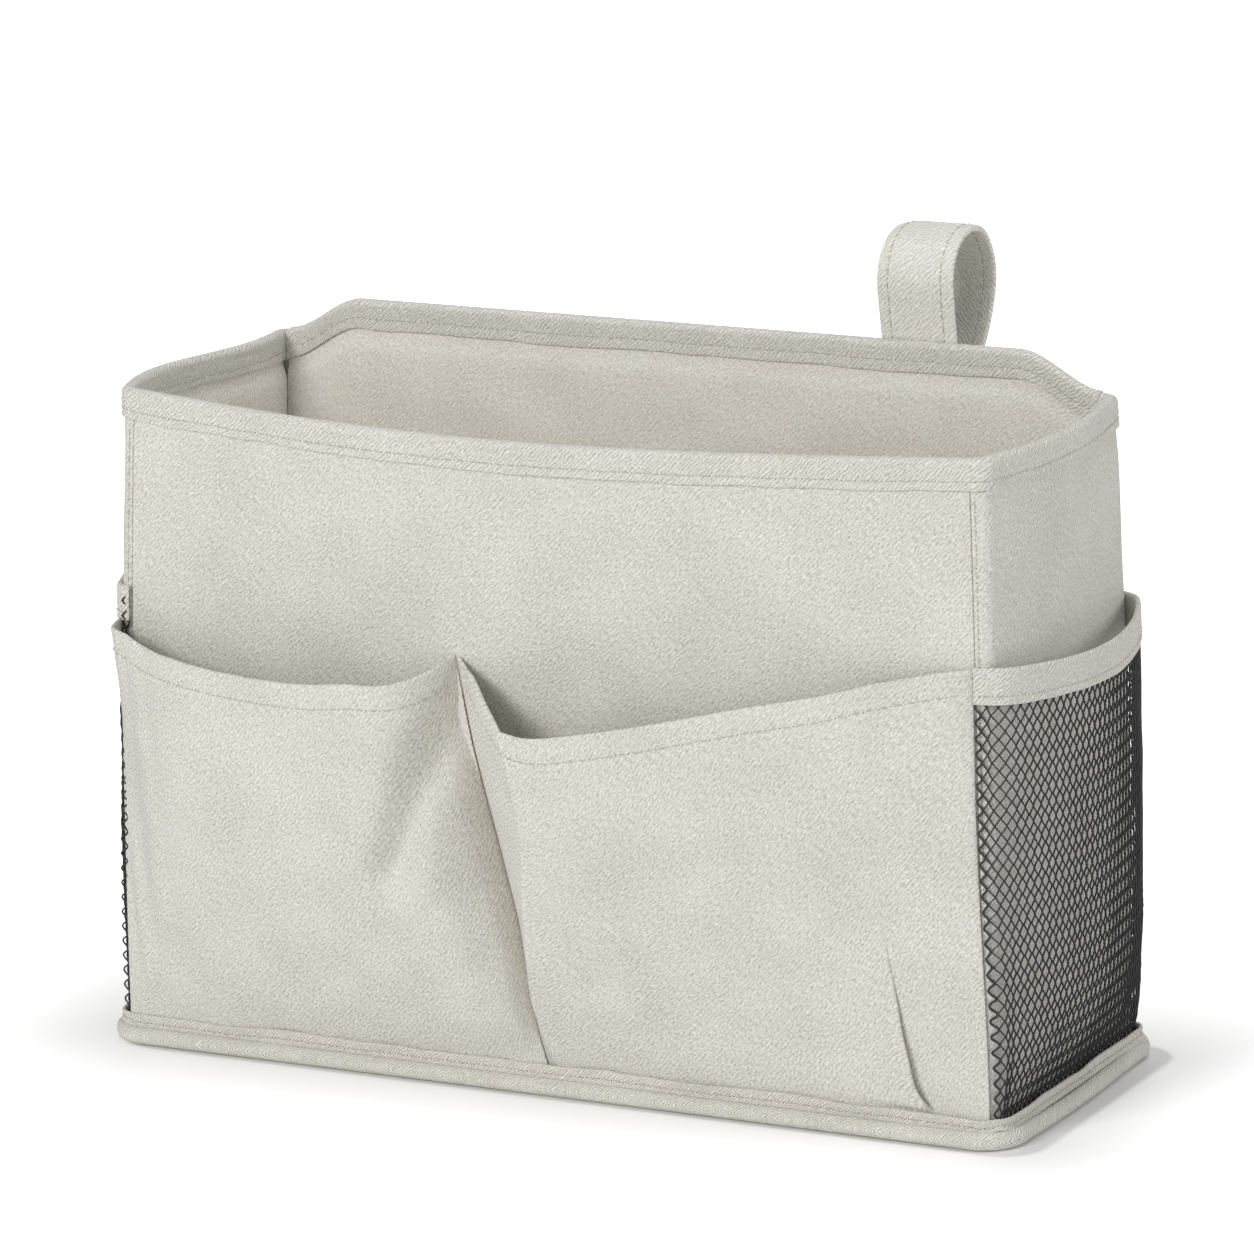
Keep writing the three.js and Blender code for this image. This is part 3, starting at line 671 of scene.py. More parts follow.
board_face = cloth_thickness + gap
full_lining = board_face + board_thickness + gap
pinch_end = binding_drop + gap
lining_half = lining_thickness / 2
lining_slack_fade = 20


def lining_depth(drop):
    return mix(board_face, full_lining, smooth((drop - pinch_end) / pinch_fade)) + lining_half


def lining_slack(drop, u, margin, depth, a, b):
    """How far the loose lining stands off its board, with nothing near its edges."""
    free = smooth((drop - pinch_end) / lining_slack_fade) * near_ends(u, margin)
    return free * depth * (crumple_inside(a, b) + 1)


def front_lining(u, v):
    x = (1 - 2 * u) * (half_length(rim_height) - corner_radius)
    z = mix(wall_foot, front_rim(x) - cloth_top_drop, v)
    x = (1 - 2 * u) * (half_length(z) - corner_radius)
    drop = front_rim(x) - z
    return front_point(x, z, lining_depth(drop) + lining_slack(drop, u, 0.05, 0.35, x, z))


def back_lining(u, v):
    rim = back_rim((2 * u - 1) * (half_length(rim_height) - corner_seam - gap))
    z = mix(wall_foot, rim - cloth_top_drop, v)
    x = (2 * u - 1) * (half_length(z) - corner_seam - gap)
    away = lining_slack(rim - z, u, 0.05, 0.4, x + 500, z)
    return points(x, half_depth(z) - lining_depth(rim - z) - away, z)


def side_lining(side):
    def surface(u, v):
        z = mix(wall_foot, rim_height - cloth_top_drop, v)
        depth = lining_depth(rim_height - z)
        inset = np.maximum(corner_radius, depth + lining_half + gap)
        y = (2 * facing(-side, u) - 1) * (half_depth(z) - inset)
        away = lining_slack(rim_height - z, u, 0.1, 0.35, y + 800 * side, z)
        return points(side * (half_length(z) + side_bow_at(side, y, z) - depth - away), y, z)

    return surface


def add_linings():
    up = evenly(120)
    pieces = {
        "front": (front_lining, 150, (0.245, 0.175)),
        "back": (back_lining, 150, (0.245, 0.185)),
        "left": (side_lining(-1), 70, (0.084, 0.175)),
        "right": (side_lining(1), 70, (0.084, 0.175)),
    }
    for name, (surface, columns, flat) in pieces.items():
        look = (lining_half, lining, flat, "stretched", name + "_board")
        us = evenly(columns)
        add_cloth(name + "_inner_cloth", name + "_lining", surface, us, up, *look, slot="lining")


# Rim bindings: tape folded over the top of the walls

binding_half = binding_thickness / 2
binding_way = 17.6
binding_stitch_drop = 5.8
back_stitch_drop = 5
rim_unevenness = 0.25
rim_flare = 0.12
tape_outer = -(gap + binding_half)
tape_inner = pinched_wall + gap + binding_half
rim_wave = waves(11, 45, 9)


def folded_tape(w, drop, outer, inner, roundness, thickness):
    """Depth inward and drop below the rim across a folded tape, w from 0 outside to 1 inside."""
    leg = drop - roundness
    arc = PI * (roundness + (inner - outer) / 2) / 2
    way = w * (2 * leg + arc)
    turn = clamp((way - leg) / arc) * PI
    inward = (outer + inner) / 2 - (inner - outer) / 2 * np.cos(turn)
    down = roundness * (1 - np.sin(turn)) + thickness / 2 * np.sin(turn)
    down = np.where(way < leg, drop - way, down)
    down = np.where(way > leg + arc, roundness + way - leg - arc, down)
    return inward, down


def stitched_in(drop, along, row, pull=0.22, width=1.0):
    """How far a row of stitches pulls a tape's face in, with a pucker at each stitch."""
    pucker = 0.75 + 0.25 * np.cos(2 * PI * along / stitch_pitch)
    return pull * pucker * bell(drop - row, width)


def bound_rim(w, way, stitch_drop, wave_shift=0):
    """Depth inward and drop below the rim of a rim binding, stitched and softly uneven."""
    drop = binding_drop + rim_unevenness * rim_wave(way + wave_shift, 0 * way)
    inward, down = folded_tape(w, drop, tape_outer, tape_inner, binding_roundness, binding_thickness)
    return inward + stitched_in(down, way, stitch_drop) * np.where(w < 0.5, 1, -1), down


def sew_both_legs(surface, along, stitch_drop):
    leg_share = (binding_drop - stitch_drop) / binding_way
    for w in (leg_share, 1 - leg_share):
        sew_row("box", surface, along, w, binding_half)


def rim_path():
    """The way along the three low rims: how to place a share of it, its length and the corner shares."""
    left, right = way_round(-1, corner_seam), way_round(1, corner_seam)
    front_reach = half_length(rim_height) - corner_seam
    lengths = np.array([left.total, 2 * front_reach, right.total])
    ends = np.cumsum(lengths) / lengths.sum()

    def at(u, drop, inward):
        def round_side(way, share):
            low = front_rim(way(share, rim_height, 0)[..., 0])
            return way(share, np.where(share < 0.5, low, rim_height) - drop, inward)

        x = mix(-front_reach, front_reach, clamp((u - ends[0]) / (ends[1] - ends[0])))
        on_left = round_side(left, 1 - clamp(u / ends[0]))
        on_right = round_side(right, clamp((u - ends[1]) / (1 - ends[1])))
        place = np.where((u < ends[0])[..., None], on_left, front_point(x, front_rim(x) - drop, inward))
        return np.where((u > ends[1])[..., None], on_right, place)

    return at, lengths.sum(), ends


def add_rim_binding():
    at, total, (left_end, front_end, _) = rim_path()

    def surface(u, w):
        u, w = np.broadcast_arrays(u, w)
        inward, down = bound_rim(w, u * total, binding_stitch_drop)
        flare = rim_flare * rim_wave(u * total + 300, down * 4) * np.where(w < 0.5, -1, 1)
        return at(u, down, inward + flare * (np.abs(w - 0.5) > 0.2))

    corner = (corner_seam - corner_radius + corner_radius * PI / 2) / total
    stops = [0, corner, left_end - corner, left_end, front_end, front_end + corner, 1 - corner, 1]
    us = spaced(stops, [8, 45, 8, 149, 8, 45, 8])
    look = (binding_half, tape, (total * MM, 0.019), "folded", "front_canvas")
    add_cloth("rim_tape", "rim_binding", surface, us, evenly(44), *look)
    sew_both_legs(surface, np.linspace(0.002, 0.998, 1500), binding_stitch_drop)


def add_back_rim_binding():
    end_inset = corner_seam + gap
    reach = half_length(rim_height) - end_inset

    def surface(u, w):
        u, w = np.broadcast_arrays(u, w)
        inward, down = bound_rim(w, u * 2 * reach, back_stitch_drop, wave_shift=700)
        z = back_rim((1 - 2 * u) * reach) - down
        return points((1 - 2 * u) * (half_length(z) - end_inset), half_depth(z) - inward, z)

    us, ws = evenly(170), evenly(40)
    look = (binding_half, tape, (0.24, 0.019), "folded", "back_canvas")
    add_cloth("back_rim_tape", "back_rim_binding", surface, us, ws, *look)
    sew_both_legs(surface, np.linspace(0.012, 0.988, 900), back_stitch_drop)


# Foot: a soft roll all round with an upright stitched lip

roll_width = 2.2
roll_radius = 2.35
foot_tape_thickness = 0.4
lip_thickness = 1
lip_edge = 0.4
lip_half_length = foot_length / 2 + net_thickness + 2 * gap + side_lip_push
lip_half_depth = foot_depth / 2 + pocket_thickness + 2 * gap
lip_radius = corner_radius + net_thickness + 2 * gap + 1.5
groove_height = 3.4
closed_groove_height = 4.5
closed_room = 4.2
stitch_height_share = 0.56
lip_swell, lip_swell_share = 0.85, 0.24
lip_wave = 0.35
lip_lean, lip_lean_wave = 0.25, 0.3
roll_wave = 0.06
foot_stitch_pull = 0.14
end_bulge = 1.5
roll_rows = 13
plate_thickness = 0.8
plate_edge = 0.3
foot_wave = waves(21, 50, 8)


def ring_shares(straight_x, straight_y, corner):
    """Places round a rounded rectangle: side or corner number and the share along it."""
    places = []
    for quarter in range(4):
        steps = straight_y if quarter % 2 == 0 else straight_x
        places += [(2 * quarter, t) for t in np.linspace(0, 1, steps, endpoint=False)]
        places += [(2 * quarter + 1, t) for t in np.linspace(0, 1, corner, endpoint=False)]
    return places


def ring_point(places, half_x, half_y, radius):
    """Points round a rounded rectangle, anticlockwise from the lower end of its +X side."""
    corners = np.array([(1, 1), (-1, 1), (-1, -1), (1, -1)]) * (half_x - radius, half_y - radius)
    result = []
    for part, t in places:
        quarter = part // 2
        centre = corners[quarter]
        angle = quarter * PI / 2
        if part % 2 == 0:
            centre = mix(corners[quarter - 1], centre, t)
        else:
            angle += t * PI / 2
        result.append(centre + radius * np.array([math.cos(angle), math.sin(angle)]))
    return np.array(result)


def add_foot():
    side_steps, end_steps, corner_steps = 200, 80, 14
    places = ring_shares(side_steps, end_steps, corner_steps)
    # The tape's two ends meet at the middle of the back.
    start = end_steps + corner_steps + side_steps // 2
    places = places[start:] + places[:start] + [(2, 0.4975)]
    edge = ring_point(places, base_length / 2, base_depth / 2, base_corner_radius)
    # The right end stands out a little in its middle.
    right_end = smooth(edge[:, 0] / 20 - 5) * np.sin(PI * clamp((edge[:, 1] + 48) / 80))
    edge[:, 0] += end_bulge * right_end
    inner = ring_point(places, lip_half_length, lip_half_depth, lip_radius)
    way = running_length(edge)
    outward = unit(np.roll(edge, -1, 0) - np.roll(edge, 1, 0)) @ np.array([[0, -1], [1, 0]])
    room = np.linalg.norm(edge - inner, axis=1)
    # Along the two ends the groove between roll and lip is nearly closed.
    closed = smooth((closed_room - room) / 1.2)
    top = lip_height + lip_wave * (foot_wave(way, 0 * way) - 1)
    lean = lip_lean + lip_lean_wave * foot_wave(way + 500, 0 * way)
    puff = roll_wave * foot_wave(way + 900, 0 * way)
    pucker = np.cos(2 * PI * way / stitch_pitch)
    pull = foot_stitch_pull * (0.6 + 0.4 * pucker)
    groove = lip_thickness + mix(0.05, 0.3, closed)
    groove_z = mix(groove_height, closed_groove_height, closed) + 0.16 * pucker
    half_roll = np.minimum(roll_width, room - groove - 0.4)

    def ring(reach, height):
        flat = inner + outward * (np.asarray(reach) + 0 * room)[:, None]
        return points(flat[:, 0], flat[:, 1], height)

    rings = [ring(0.6, 0.03), ring(1.3, 0)]
    for angle in np.linspace(-PI / 2, PI / 2, roll_rows):
        reach = room - half_roll + (half_roll + puff) * math.cos(angle) - 0.05
        rings.append(ring(reach, roll_radius * (1 + math.sin(angle))))
    rings.append(ring(mix(groove, room - half_roll, 0.5), mix(groove_z, 2 * roll_radius, 0.4)))
    rings.append(ring(groove, groove_z))
    # The lip swells just above the groove and is pulled in by its stitches.
    for share in np.linspace(0.1, 1, 10):
        swell = lip_swell * bell(share - lip_swell_share, 0.15)
        seam = pull * bell(share - stitch_height_share, 0.14)
        reach = lip_thickness + lean * share**2 + swell - seam
        rings.append(ring(reach, mix(groove_z, top - lip_edge, share)))
    for angle in np.linspace(0, PI, 7)[1:]:
        reach = lip_thickness / 2 * (1 + math.cos(angle)) + lean
        rings.append(ring(reach, top - lip_edge + lip_edge * math.sin(angle)))
    for share in evenly(5)[1:]:
        rings.append(ring(lean * (1 - share), mix(top - 0.6, 1.6, share)))

    turn_row = 2 + roll_rows // 2
    piece = cloth_from_grid("foot_binding", np.array(rings), 0, foot_tape_thickness, turn_row)
    dress(piece, foot_tape, "base_binding")
    row_z = mix(groove_z, top - lip_edge, stitch_height_share)
    row = ring(lip_thickness + 0.1 + lean * 0.3 - pull, row_z)
    sew("box", row, points(outward[:, 0], outward[:, 1], 0))

    half_x, half_y, radius = lip_half_length - gap, lip_half_depth - gap, lip_radius - gap
    plate("under_side", "under_cloth", half_x, half_y, radius, 0.02, canvas, 0.05)
    inset = full_lining + lining_thickness + gap
    half_x, half_y = foot_length / 2 - inset, foot_depth / 2 - inset
    bottom = floor_top - plate_thickness
    plate("floor_cloth", "floor_lining", half_x, half_y, corner_radius, bottom, lining, 0.12)


def plate(name, node, half_x, half_y, radius, bottom, material, wave):
    """A flat cloth with rounded corners and a softly uneven face."""
    outline = ring_point(ring_shares(60, 24, 6), half_x, half_y, radius)
    upper, under = [], []
    for index, share in enumerate([1, 0.9975, *np.linspace(1, 0.02, 14)]):
        edge = plate_edge if index == 0 else 0
        x, y = (outline * share).T
        relief = wave * smooth((1 - share) * 5) * crumple_inside(x, y + 77)
        upper.append(points(x, y, bottom + plate_thickness - edge + relief))
        under.append(points(x, y, bottom + edge))
    rings = np.stack(under[::-1] + upper)[:, ::-1]
    piece = tube_piece(name, [rings], (rings * (1, 1, 0)).reshape(-1, 3))
    dress(piece, material, node)


# Front pockets

pocket_half = pocket_thickness / 2
pocket_foot = wall_foot + board_thickness
hem_height = 7
hem_stitch_drop = 5.7
seam_room = 0.6
fold_share = 0.15
fold_depth = 26
pleat_share = 0.86
pleat_top = 64
pleat_lap = 2.8
pleat_overhang = 1.3
seam_dive = 3.4
pocket_crumple = waves(31, 60, 16)
pocket_fine = waves(37, 22, 7)

# Places on the front wall: height and x, from the foot up
middle_seam_line = spline(
    [(0, 2), (7, 0.2), (17, -2.5), (30, -4.6), (42, -6.1), (62, -10.5), (92, -17.6), (115, -21.3)]
)
fold_line = spline(
    [(5, 2.6), (19, 1.2), (29, 1.4), (50, 4.2), (68, 6.2), (79, 7), (90, 5.2), (102, 1.8)]
)
pleat_line = spline(
    [(6, 112), (8.5, 108.5), (12, 105.4), (24, 102.4), (37, 100.2), (56, 97.6), (76, 96.6), (125, 95)]
)

# Pocket rims: share of the way, distance from the wall, height
left_rim = spline([
    (0, 0, 114.8), (0.015, 6.8, 114.3), (0.08, 11, 112.9), (0.15, 13.5, 111.1), (0.21, 17, 110.7),
    (0.45, 22, 109.2), (0.67, 23, 109), (0.79, 22, 110), (0.9, 17.5, 110), (0.96, 9, 112), (1, 0, 115),
])
right_rim = spline([
    (fold_share, 23.5, 102.1), (0.21, 25.8, 101.6), (0.29, 26, 102.9), (0.47, 23, 107.5),
    (0.63, 18, 112), (0.79, 11, 115.8), (0.92, 4, 120.3), (1, 0, 123),
])

# Soft folds as drawn lines of (x, height), with the height and width of the fold
left_crease = [(-20, 113), (-22, 96), (-25.5, 84.5), (-29, 73), (-33, 63), (-40, 48)], -6, 5.4
left_folds = [
    ([(-122, 62), (-119.3, 40), (-117.2, 26), (-115.6, 12.5), (-115, 6)], 1.6, 2.4),
    ([(-100, 100), (-80, 60), (-50, 24)], 0.6, 12),
]
right_folds = [
    ([(2, 97), (6, 88), (14.5, 71), (24, 54), (32, 33), (38, 20)], 1.3, 4.5),
    ([(4, 80), (8, 66), (16, 48), (25, 26)], -0.9, 5),
    ([(112, 112), (95, 90), (80, 64)], 0.8, 9),
]


def seam_ease(z):
    """How much nearer to the corner the pockets and nets meet, towards the foot."""
    return 2.6 * (1 - smooth(z / 95))


def outer_seam_at(z):
    return half_length(z) - corner_seam + seam_ease(z)


def pocket_lift(z, top):
    """Share of the way up from the foot binding to the pocket's rim."""
    return clamp((z - lip_height - gap) / (top - lip_height - gap))


def cloth_relief(x, z, shift, coarse, folds):
    """Crumples and soft folds of a pocket cloth."""
    height = coarse * pocket_crumple(x + shift, z) + 0.12 * pocket_fine(x, z)
    for line, high, wide in folds:
        height = height + ridge(line, x, z, high, wide)
    return height


def pocket_place(x, z, away, top, full, hem_way):
    hem = stitched_in(top - z, hem_way, hem_stitch_drop, 0.3, 1.1)
    return front_point(x, z, -(gap + pocket_half + np.maximum(away - hem * full, 0)))


def left_pocket_surface(u, v):
    rim = left_rim(u)
    depth, top = np.maximum(rim[..., 0], 0), rim[..., 1]
    z = mix(pocket_foot, top, v)
    lift = pocket_lift(z, top)
    # The loaded cloth bulges out over the corner of the box.
    corner = half_length(z) - mix(1.4, 0.5, smooth((z - 80) / 30))
    x = mix(-corner, middle_seam_line(z)[..., 0] - seam_room, u)
    full = near_ends(u, 0.04, 0.05) * smooth(lift / 0.1)
    soon, late = 1 - (1 - lift) ** pocket_flare, lift**late_flare
    away = depth * mix(late, soon, smooth(u / late_share))
    away = away + full * cloth_relief(x, z, 0, 0.4, left_folds)
    # Beside the middle seam the cloth stays forward and then dives into the slit between the pockets,
    # and a broad crease leans away from it.
    dive = 1 - (1 - clamp((1 - u) / 0.03)) ** 2
    dive = dive * smooth(lift / 0.12) * smooth((1 - lift) / 0.35)
    away = away + seam_dive * dive * bell(1 - u, 0.22)
    line, depth_of_crease, width = left_crease
    away = away + ridge(line, x, z, depth_of_crease, width)
    return pocket_place(x, z, away, top, full, u * 102)


def right_pocket_surface(u, v):
    rim = right_rim(u)
    side = clamp(u / fold_share)
    depth, top = side * rim[..., 0], mix(115, rim[..., 1], side)
    z = mix(pocket_foot, top, v)
    lift = pocket_lift(z, top)
    # The cloth runs from the middle seam forward to a fold, and then from the fold to the pleat.
    rest = clamp((u - fold_share) / (1 - fold_share))
    seam, edge = middle_seam_line(z)[..., 0] + seam_room, outer_seam_at(z) - seam_room
    fold_x, pleat_x = fold_line(z)[..., 0], pleat_line(z)[..., 0]
    middle_part = mix(fold_x, pleat_x, (u - fold_share) / (pleat_share - fold_share))
    last_part = mix(pleat_x, edge, (u - pleat_share) / (1 - pleat_share))
    x = np.where(u < fold_share, mix(seam, fold_x, side), middle_part)
    x = np.where(u > pleat_share, last_part, x)
    sharp = fold_depth * np.where(u < fold_share, side**0.85, (1 - rest) ** 0.75)
    form = mix(sharp, np.maximum(depth, 0), smooth((lift - 0.5) / 0.5))
    full = near_ends(u, 0.05, 0.04) * smooth(lift / 0.1)
    away = form * (1 - (1 - lift) ** (pocket_flare - 0.4))
    away = away + full * cloth_relief(x, z, 300, 0.35, right_folds)
    # At the lower right the cloth left of the pleat laps over the strip beside the seam.
    past = x - pleat_x
    grown = smooth((pleat_top - z) / 52) ** 1.3 * smooth(lift / 0.01)
    lap = smooth(0.5 - past / 0.4) * bell(np.minimum(past, 0), 16)
    away = away + pleat_lap * grown * lap
    x = x + pleat_overhang * grown * np.clip(-past / 0.2, -1, 1) * bell(past, 1.6)
    return pocket_place(x, z, away, top, full, u * 147)


def add_pocket(name, surface, us, flat):
    def behind(u, v):
        drop = (1 - v) * (surface(u, np.ones_like(u))[..., 2] - pocket_foot)
        return pocket_half + 0.65 * near_ends(u, 0.06) * smooth((hem_height - drop) / 0.8 + 0.5)

    vs = spaced([0, 0.9, 1], [95, 25])
    look = (pocket_half, canvas, flat, "gathered", "front_canvas", behind)
    add_cloth(name + "_pocket_cloth", name + "_pocket", surface, us, vs, *look)
    along = np.linspace(0.015, 0.985, 900)
    top = surface(along, np.ones_like(along))[..., 2]
    sew_row("box", surface, along, 1 - hem_stitch_drop / (top - pocket_foot), pocket_half)


def add_pockets():
    add_pocket("left", left_pocket_surface, spaced([0, 0.1, 0.95, 1], [21, 115, 19]), (0.125, 0.117))
    near_fold, near_pleat = 0.02, 0.015
    stops = [0, fold_share - near_fold, fold_share + near_fold, pleat_share - near_pleat]
    stops += [pleat_share + near_pleat, 1]
    add_pocket("right", right_pocket_surface, spaced(stops, [25, 11, 129, 32, 25]), (0.165, 0.122))


# Net pockets

net_foot = pocket_foot
net_pitch = 2.9
net_diamond_height = 4.1
net_yarn_radius = 0.26
net_yarn_sides = 5
net_tape_half = 0.25
net_tape_way = 19.5
net_tape_stitch_drop = 7
net_tucked_in = 2
net_sag = 0.12
net_hug = {1: (0.6, 0.6), -1: (0.9, 0.3)}


def net_surface(side):
    """Middle surface of a net: share of the way from the front seam to the back seam, and height."""
    way = way_round(side, corner_seam - gap)
    flare_foot = lip_height + gap

    def surface(share, z):
        share, z = np.broadcast_arrays(np.asarray(share, float), np.asarray(z, float))
        share = mix(seam_ease(z) / way.total, 1, share)
        lift = clamp((z - flare_foot) / (net_top - net_band_height - flare_foot))
        hug = mix(*net_hug[side], smooth((z - 55) / 30)) + 2 * net_tape_half * lift
        place = way(share, z, -hug)
        depth_share = clamp((place[..., 1] / half_depth(z) + 1) / 2)
        bulge = mix(side_lip_push, net_bulge, 1 - (1 - lift) ** net_flare)
        place[..., 0] += side * bulge * np.sin(PI * depth_share) ** net_squareness[side]
        return place

    return surface


def net_rim(share):
    return net_top + net_top_lift * (1 - np.sin(PI * share))


def add_net(name, side):
    surface = net_surface(side)

    def across(share):
        return surface(share, net_top * 0.6)

    _, length = even_shares(across, 200)
    columns = 2 * round(length / net_pitch)
    shares, _ = even_shares(across, columns + 1)
    rows = 2 * round((net_top - net_foot) / net_diamond_height)
    sag = waves(41 + side, 30, 9)

    def normal_at(share, z, step_back=1e-3):
        ahead = surface(np.minimum(share + 1e-3, 1), z) - surface(np.maximum(share - step_back, 0), z)
        return unit(np.stack([ahead[..., 1], -ahead[..., 0], 0 * z], -1)) * side

    def height_at(share, row):
        return mix(net_foot, net_rim(share) - net_tucked_in, row / rows)

    def yarn(line, normal):
        along = unit(np.gradient(line, axis=0))
        beside = unit(np.cross(along, normal))
        ring = circle(beside, unit(np.cross(beside, along)), net_yarn_sides)
        return line[:, None] + net_yarn_radius * ring

    strands = []
    row = np.arange(rows + 1)
    for column in range(0, columns + 1, 2):
        for lean in (1, -1):
            i = column + lean * (row % 2)
            if i.min() < 0 or i.max() > columns:
                continue
            z = height_at(shares[i], row)
            normal = normal_at(shares[i], z)
            # Strands meet at the crossings and pass each other there by half a yarn.
            away = net_sag * sag(i * 1.4, z) * smooth(row / 8) + lean * 0.5 * net_yarn_radius
            strands.append(yarn(surface(shares[i], z) + normal * away[:, None], normal))
    # A doubled yarn waves along the front edge and closes its chain of loops. At the left,
    # the outer one of the two stands off from the wall at each loop.
    fine_row = np.linspace(0, rows, 4 * rows + 1)
    loop = (1 - np.cos(PI * fine_row)) / 2
    for shift, stand_off in ((0.0, 0), (0.12, net_loop_stand_off[side])):
        share = np.interp(0.9 * loop + shift, np.arange(columns + 1), shares)
        z = height_at(share, fine_row)
        normal = normal_at(share, z, step_back=0)
        away = 0.4 * net_yarn_radius + stand_off * loop
        strands.append(yarn(surface(share, z) + normal * away[:, None], normal))
    dress(tube_piece(name + "_net_yarn", strands), net_yarn, name + "_net")

    outer = net_yarn_radius + net_tape_half

    def band(u, w):
        u, w = np.broadcast_arrays(u, w)
        share = facing(side, u)
        drop = net_band_height + 0.2 * rim_wave(share * length + 200 * side, 0 * u)
        inward, down = folded_tape(w, drop, -outer, outer, 0.7, 2 * net_tape_half)
        pull = stitched_in(down, share * length, net_tape_stitch_drop, 0.2, 0.9)
        inward = inward + pull * np.where(w < 0.5, 1, -1)
        z = net_rim(share) - down
        return surface(share, z) - normal_at(share, z) * inward[..., None]

    us, ws = spaced([0, 0.08, 0.92, 1], [11, 89, 11]), evenly(40)
    look = (net_tape_half, tape, (length * MM, 0.021), "folded", name + "_net_yarn")
    add_cloth(name + "_net_tape", name + "_net_band", band, us, ws, *look)
    row_share = (net_band_height - net_tape_stitch_drop) / net_tape_way
    sew_row("box", band, np.linspace(0.01, 0.99, 700), row_share, net_tape_half)


# Strap: one folded tape from the sewn tail up round the loop and back

strap_half = strap_thickness / 2
strap_reach = 29.5
strap_top_room = 1.2
strap_stitch_offset = 8.1
strap_sewn_share = 0.2
strap_droop = 0.9
strap_wave = 0.1
strap_columns = 240

# The loop seen from its side: shares of its reach back from the wall and of its height
loop_outline = [
    (0, 0.19), (0, 0.42), (-0.06, 0.62), (-0.09, 0.78), (0.02, 0.92), (0.24, 0.99),
    (0.5, 1), (0.74, 0.93), (0.9, 0.77), (0.88, 0.61), (0.7, 0.41), (0.37, 0.2),
]


def strap_curve(pivot_y):
    """The strap's middle line as a curve of (y, z), from one end of the tape to the other."""
    near_y = half_depth(back_height - binding_drop) + binding_thickness + 2 * gap + strap_half
    reach = strap_reach - strap_thickness
    height = strap_high[2] - strap_top_room - strap_half - strap_pivot_height
    tail_z = tail_low[2]
    tail_y = half_depth(tail_z) + gap + strap_thickness
    middle_y, middle_z = mix(tail_y, pivot_y, 0.5), mix(tail_z, strap_pivot_height, 0.5)

    def leg(side):
        """The tail's layer on one side, from its end up to the seam."""
        at_seam = pivot_y + side * (strap_half + 0.05), strap_pivot_height
        return [(tail_y + side * strap_half, tail_z), (middle_y + side * strap_half, middle_z), at_seam]

    loop = [(near_y + back * reach, strap_pivot_height + up * height) for back, up in loop_outline]
    knots = np.array(leg(-1) + loop + leg(1)[::-1])
    chord = np.sqrt(np.linalg.norm(np.diff(knots, axis=0), axis=1))
    share = np.concatenate([[0], np.cumsum(chord)]) / chord.sum()
    return spline(np.column_stack([share, knots]))


def add_strap():
    pivot_y = half_depth(strap_pivot_height) + gap + strap_thickness
    curve = strap_curve(pivot_y)
    even, length = even_shares(curve, strap_columns)

    def surface(u, w):
        u, w = np.broadcast_arrays(u, w)
        y, z = np.moveaxis(curve(np.interp(u, evenly(strap_columns), even)), -1, 0)
        across = (w - 0.5) * (strap_width - strap_thickness)
        # The stitched edges are a little thinner and wavier than the middle.
        edge = smooth((np.abs(w - 0.5) - 0.3) / 0.2)
        wave = strap_wave * edge * rim_wave(u * length + 40 * np.sign(w - 0.5), 0 * u)
        # At the top of the loop the left corner of the strap droops.
        droop = strap_droop * clamp(1 - 2 * w) ** 4 * smooth((z - back_height) / 25)
        return points(strap_centre + across, y + wave, z + wave - droop)

    u, w = np.meshgrid(evenly(strap_columns), evenly(40))
    row = bell(np.abs(w - 0.5) * strap_width - strap_stitch_offset, 0.6)
    thickness = strap_half - 0.14 * row * (0.75 + 0.25 * np.cos(2 * PI * u * length / stitch_pitch))
    piece = cloth_from_grid("strap", surface(u, w), thickness, thickness)
    piece.data.materials.append(strap_tape)
    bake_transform(piece)
    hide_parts("strap_loop", "strap_tail")
    steps = 1400
    first = int(strap_sewn_share * steps)
    along = evenly(steps)[first:-first]
    for offset in (-strap_stitch_offset, strap_stitch_offset):
        for face in (1, -1):
            sew_row("strap", surface, along, 0.5 + offset / strap_width, face * (strap_half - 0.1))


# Studio, in metres

photo_focal_px, photo_width_px = 7495.34, 1254
camera_azimuth, camera_elevation, camera_roll = (math.radians(a) for a in (26.70, 13.53, -1.19))
camera_place = np.array([853.593, -1693.348, 569.580]) * MM
lamp_target = np.array([0, 0, 0.1])
# Each lamp's place, width, power and colour
lamps = {
    "key": ((-0.6, -2.1, 1.2), 0.8, 25, (1, 0.995, 0.985)),
    "front": ((0.05, -2.2, 0.55), 1.2, 12, (1, 1, 1)),
    "side": ((2.1, 0.15, 0.8), 1.0, 14.5, (1, 1, 1)),
    "top": ((0.1, 0.3, 1.9), 1.4, 11.5, (1, 1, 1)),
    "back": ((-0.7, 2.2, 0.9), 1.2, 11, (1, 1, 1)),
}
world_strength = 0.15
floor_reach = 3.0
floor_drop = 0.0002
shadow_shift = (0.005, 0, 0)


def stand(data, right, up, back, place):
    """Puts a camera or a lamp into the scene at a place, with its own axes."""
    thing = bpy.data.objects.new(data.name, data)
    turned = np.eye(4)
    turned[:3] = np.column_stack([right, up, back, place])
    thing.matrix_world = Matrix(turned.tolist())
    bpy.context.scene.collection.objects.link(thing)
    return thing


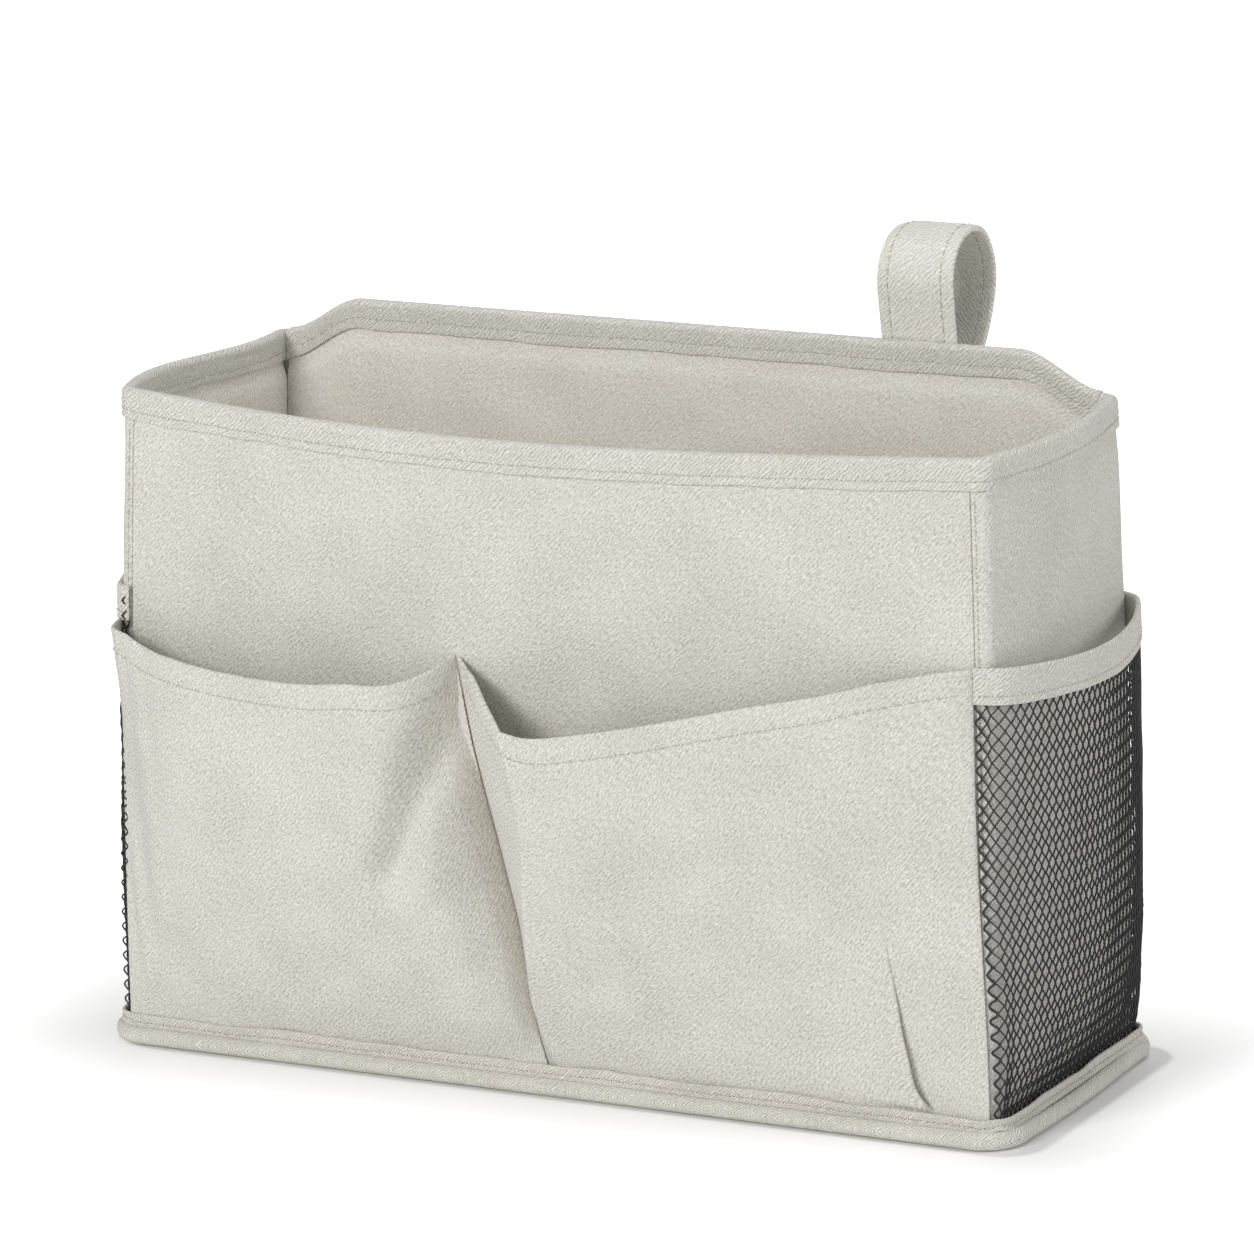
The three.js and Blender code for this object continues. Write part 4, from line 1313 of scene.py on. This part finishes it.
def add_camera():
    data = bpy.data.cameras.new("camera")
    data.sensor_width = 36
    data.lens = 36 * photo_focal_px / photo_width_px
    data.clip_end = 20
    right = points(math.cos(camera_azimuth), math.sin(camera_azimuth), 0)
    level = math.cos(camera_elevation)
    back = points(level * right[1], -level * right[0], math.sin(camera_elevation))
    up = np.cross(back, right)
    cos_roll, sin_roll = math.cos(camera_roll), math.sin(camera_roll)
    axes = cos_roll * right + sin_roll * up, cos_roll * up - sin_roll * right, back
    bpy.context.scene.camera = stand(data, *axes, camera_place)


def add_lamps():
    for name, (place, width, power, colour) in lamps.items():
        lamp = bpy.data.lights.new(name, "AREA")
        lamp.shape = "SQUARE"
        lamp.size = width
        lamp.energy = power
        lamp.color = colour
        back = unit(np.array(place) - lamp_target)
        right = unit(np.cross([0, 0, 1], back))
        stand(lamp, right, np.cross(back, right), back, place)


def add_world():
    """Plain light from all round, and a white background."""
    graph = Graph(bpy.data.worlds.new("world"))
    bpy.context.scene.world = graph.owner
    rays = graph.node("ShaderNodeLightPath").outputs
    seen = graph.math("MAXIMUM", rays["Is Camera Ray"], rays["Is Glossy Ray"])
    strength = graph.ranged(seen, 0.0, 1.0, world_strength, 1.0)
    graph.fill(graph.nodes["Background"], {"Color": (1, 1, 1, 1), "Strength": strength})


def add_floor():
    """A pale floor that glows more with its distance from the rounded foot: only a soft shadow is seen."""
    reach, low = floor_reach / MM, -floor_drop / MM
    corners = [(x * reach, y * reach, low) for x, y in ((-1, -1), (1, -1), (1, 1), (-1, 1))]
    floor = new_mesh("floor", corners, [(0, 1, 2, 3)])
    graph = Graph(bpy.data.materials.new("floor"))
    foot_core = ((base_length / 2 - base_corner_radius) * MM, (base_depth / 2 - base_corner_radius) * MM, 0)
    place = graph.node("ShaderNodeTexCoord").outputs["Object"]
    place = graph.vector("SUBTRACT", shadow_shift, place)[0]
    place = graph.vector("SUBTRACT", graph.vector("ABSOLUTE", place)[0], foot_core)[0]
    far = graph.vector("LENGTH", graph.vector("MAXIMUM", place)[0])["Value"]
    far = graph.math("SUBTRACT", far, base_corner_radius * MM)
    glow = graph.math("MULTIPLY", graph.ranged(far, 0.002, 0.12, 0.24, 0.9), graph.ranged(far, 0.0, 0.002))
    seen = graph.node("ShaderNodeLightPath").outputs["Is Camera Ray"]
    graph.shade(
        {
            "Base Color": (0.9, 0.9, 0.9, 1),
            "Roughness": 1,
            "Specular IOR Level": 0,
            "Emission Color": (1, 1, 1, 1),
            "Emission Strength": graph.math("MULTIPLY", seen, glow),
        }
    )
    floor.data.materials.append(graph.owner)


add_outer_cloths()
add_linings()
add_rim_binding()
add_back_rim_binding()
add_foot()
add_pockets()
for name, side in sides.items():
    add_net(name, side)
add_strap()

# Stitches and needle holes as pieces; the needle holes carry painted shade.
for body, rows in seams.items():
    for name, material in (("stitches", thread), ("painted_hole_shades", painted_hole_shade)):
        piece = tube_piece(body + "_" + name, rows[name])
        piece.data.materials.append(material)
        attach(piece, body)

for name in ("front_board", "back_board", "left_board", "right_board", "base_board"):
    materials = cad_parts[name].data.materials
    materials.clear()
    materials.append(board)

bpy.context.scene.view_settings.view_transform = "Standard"
add_camera()
add_lamps()
add_world()
add_floor()

bpy.context.view_layer.update()
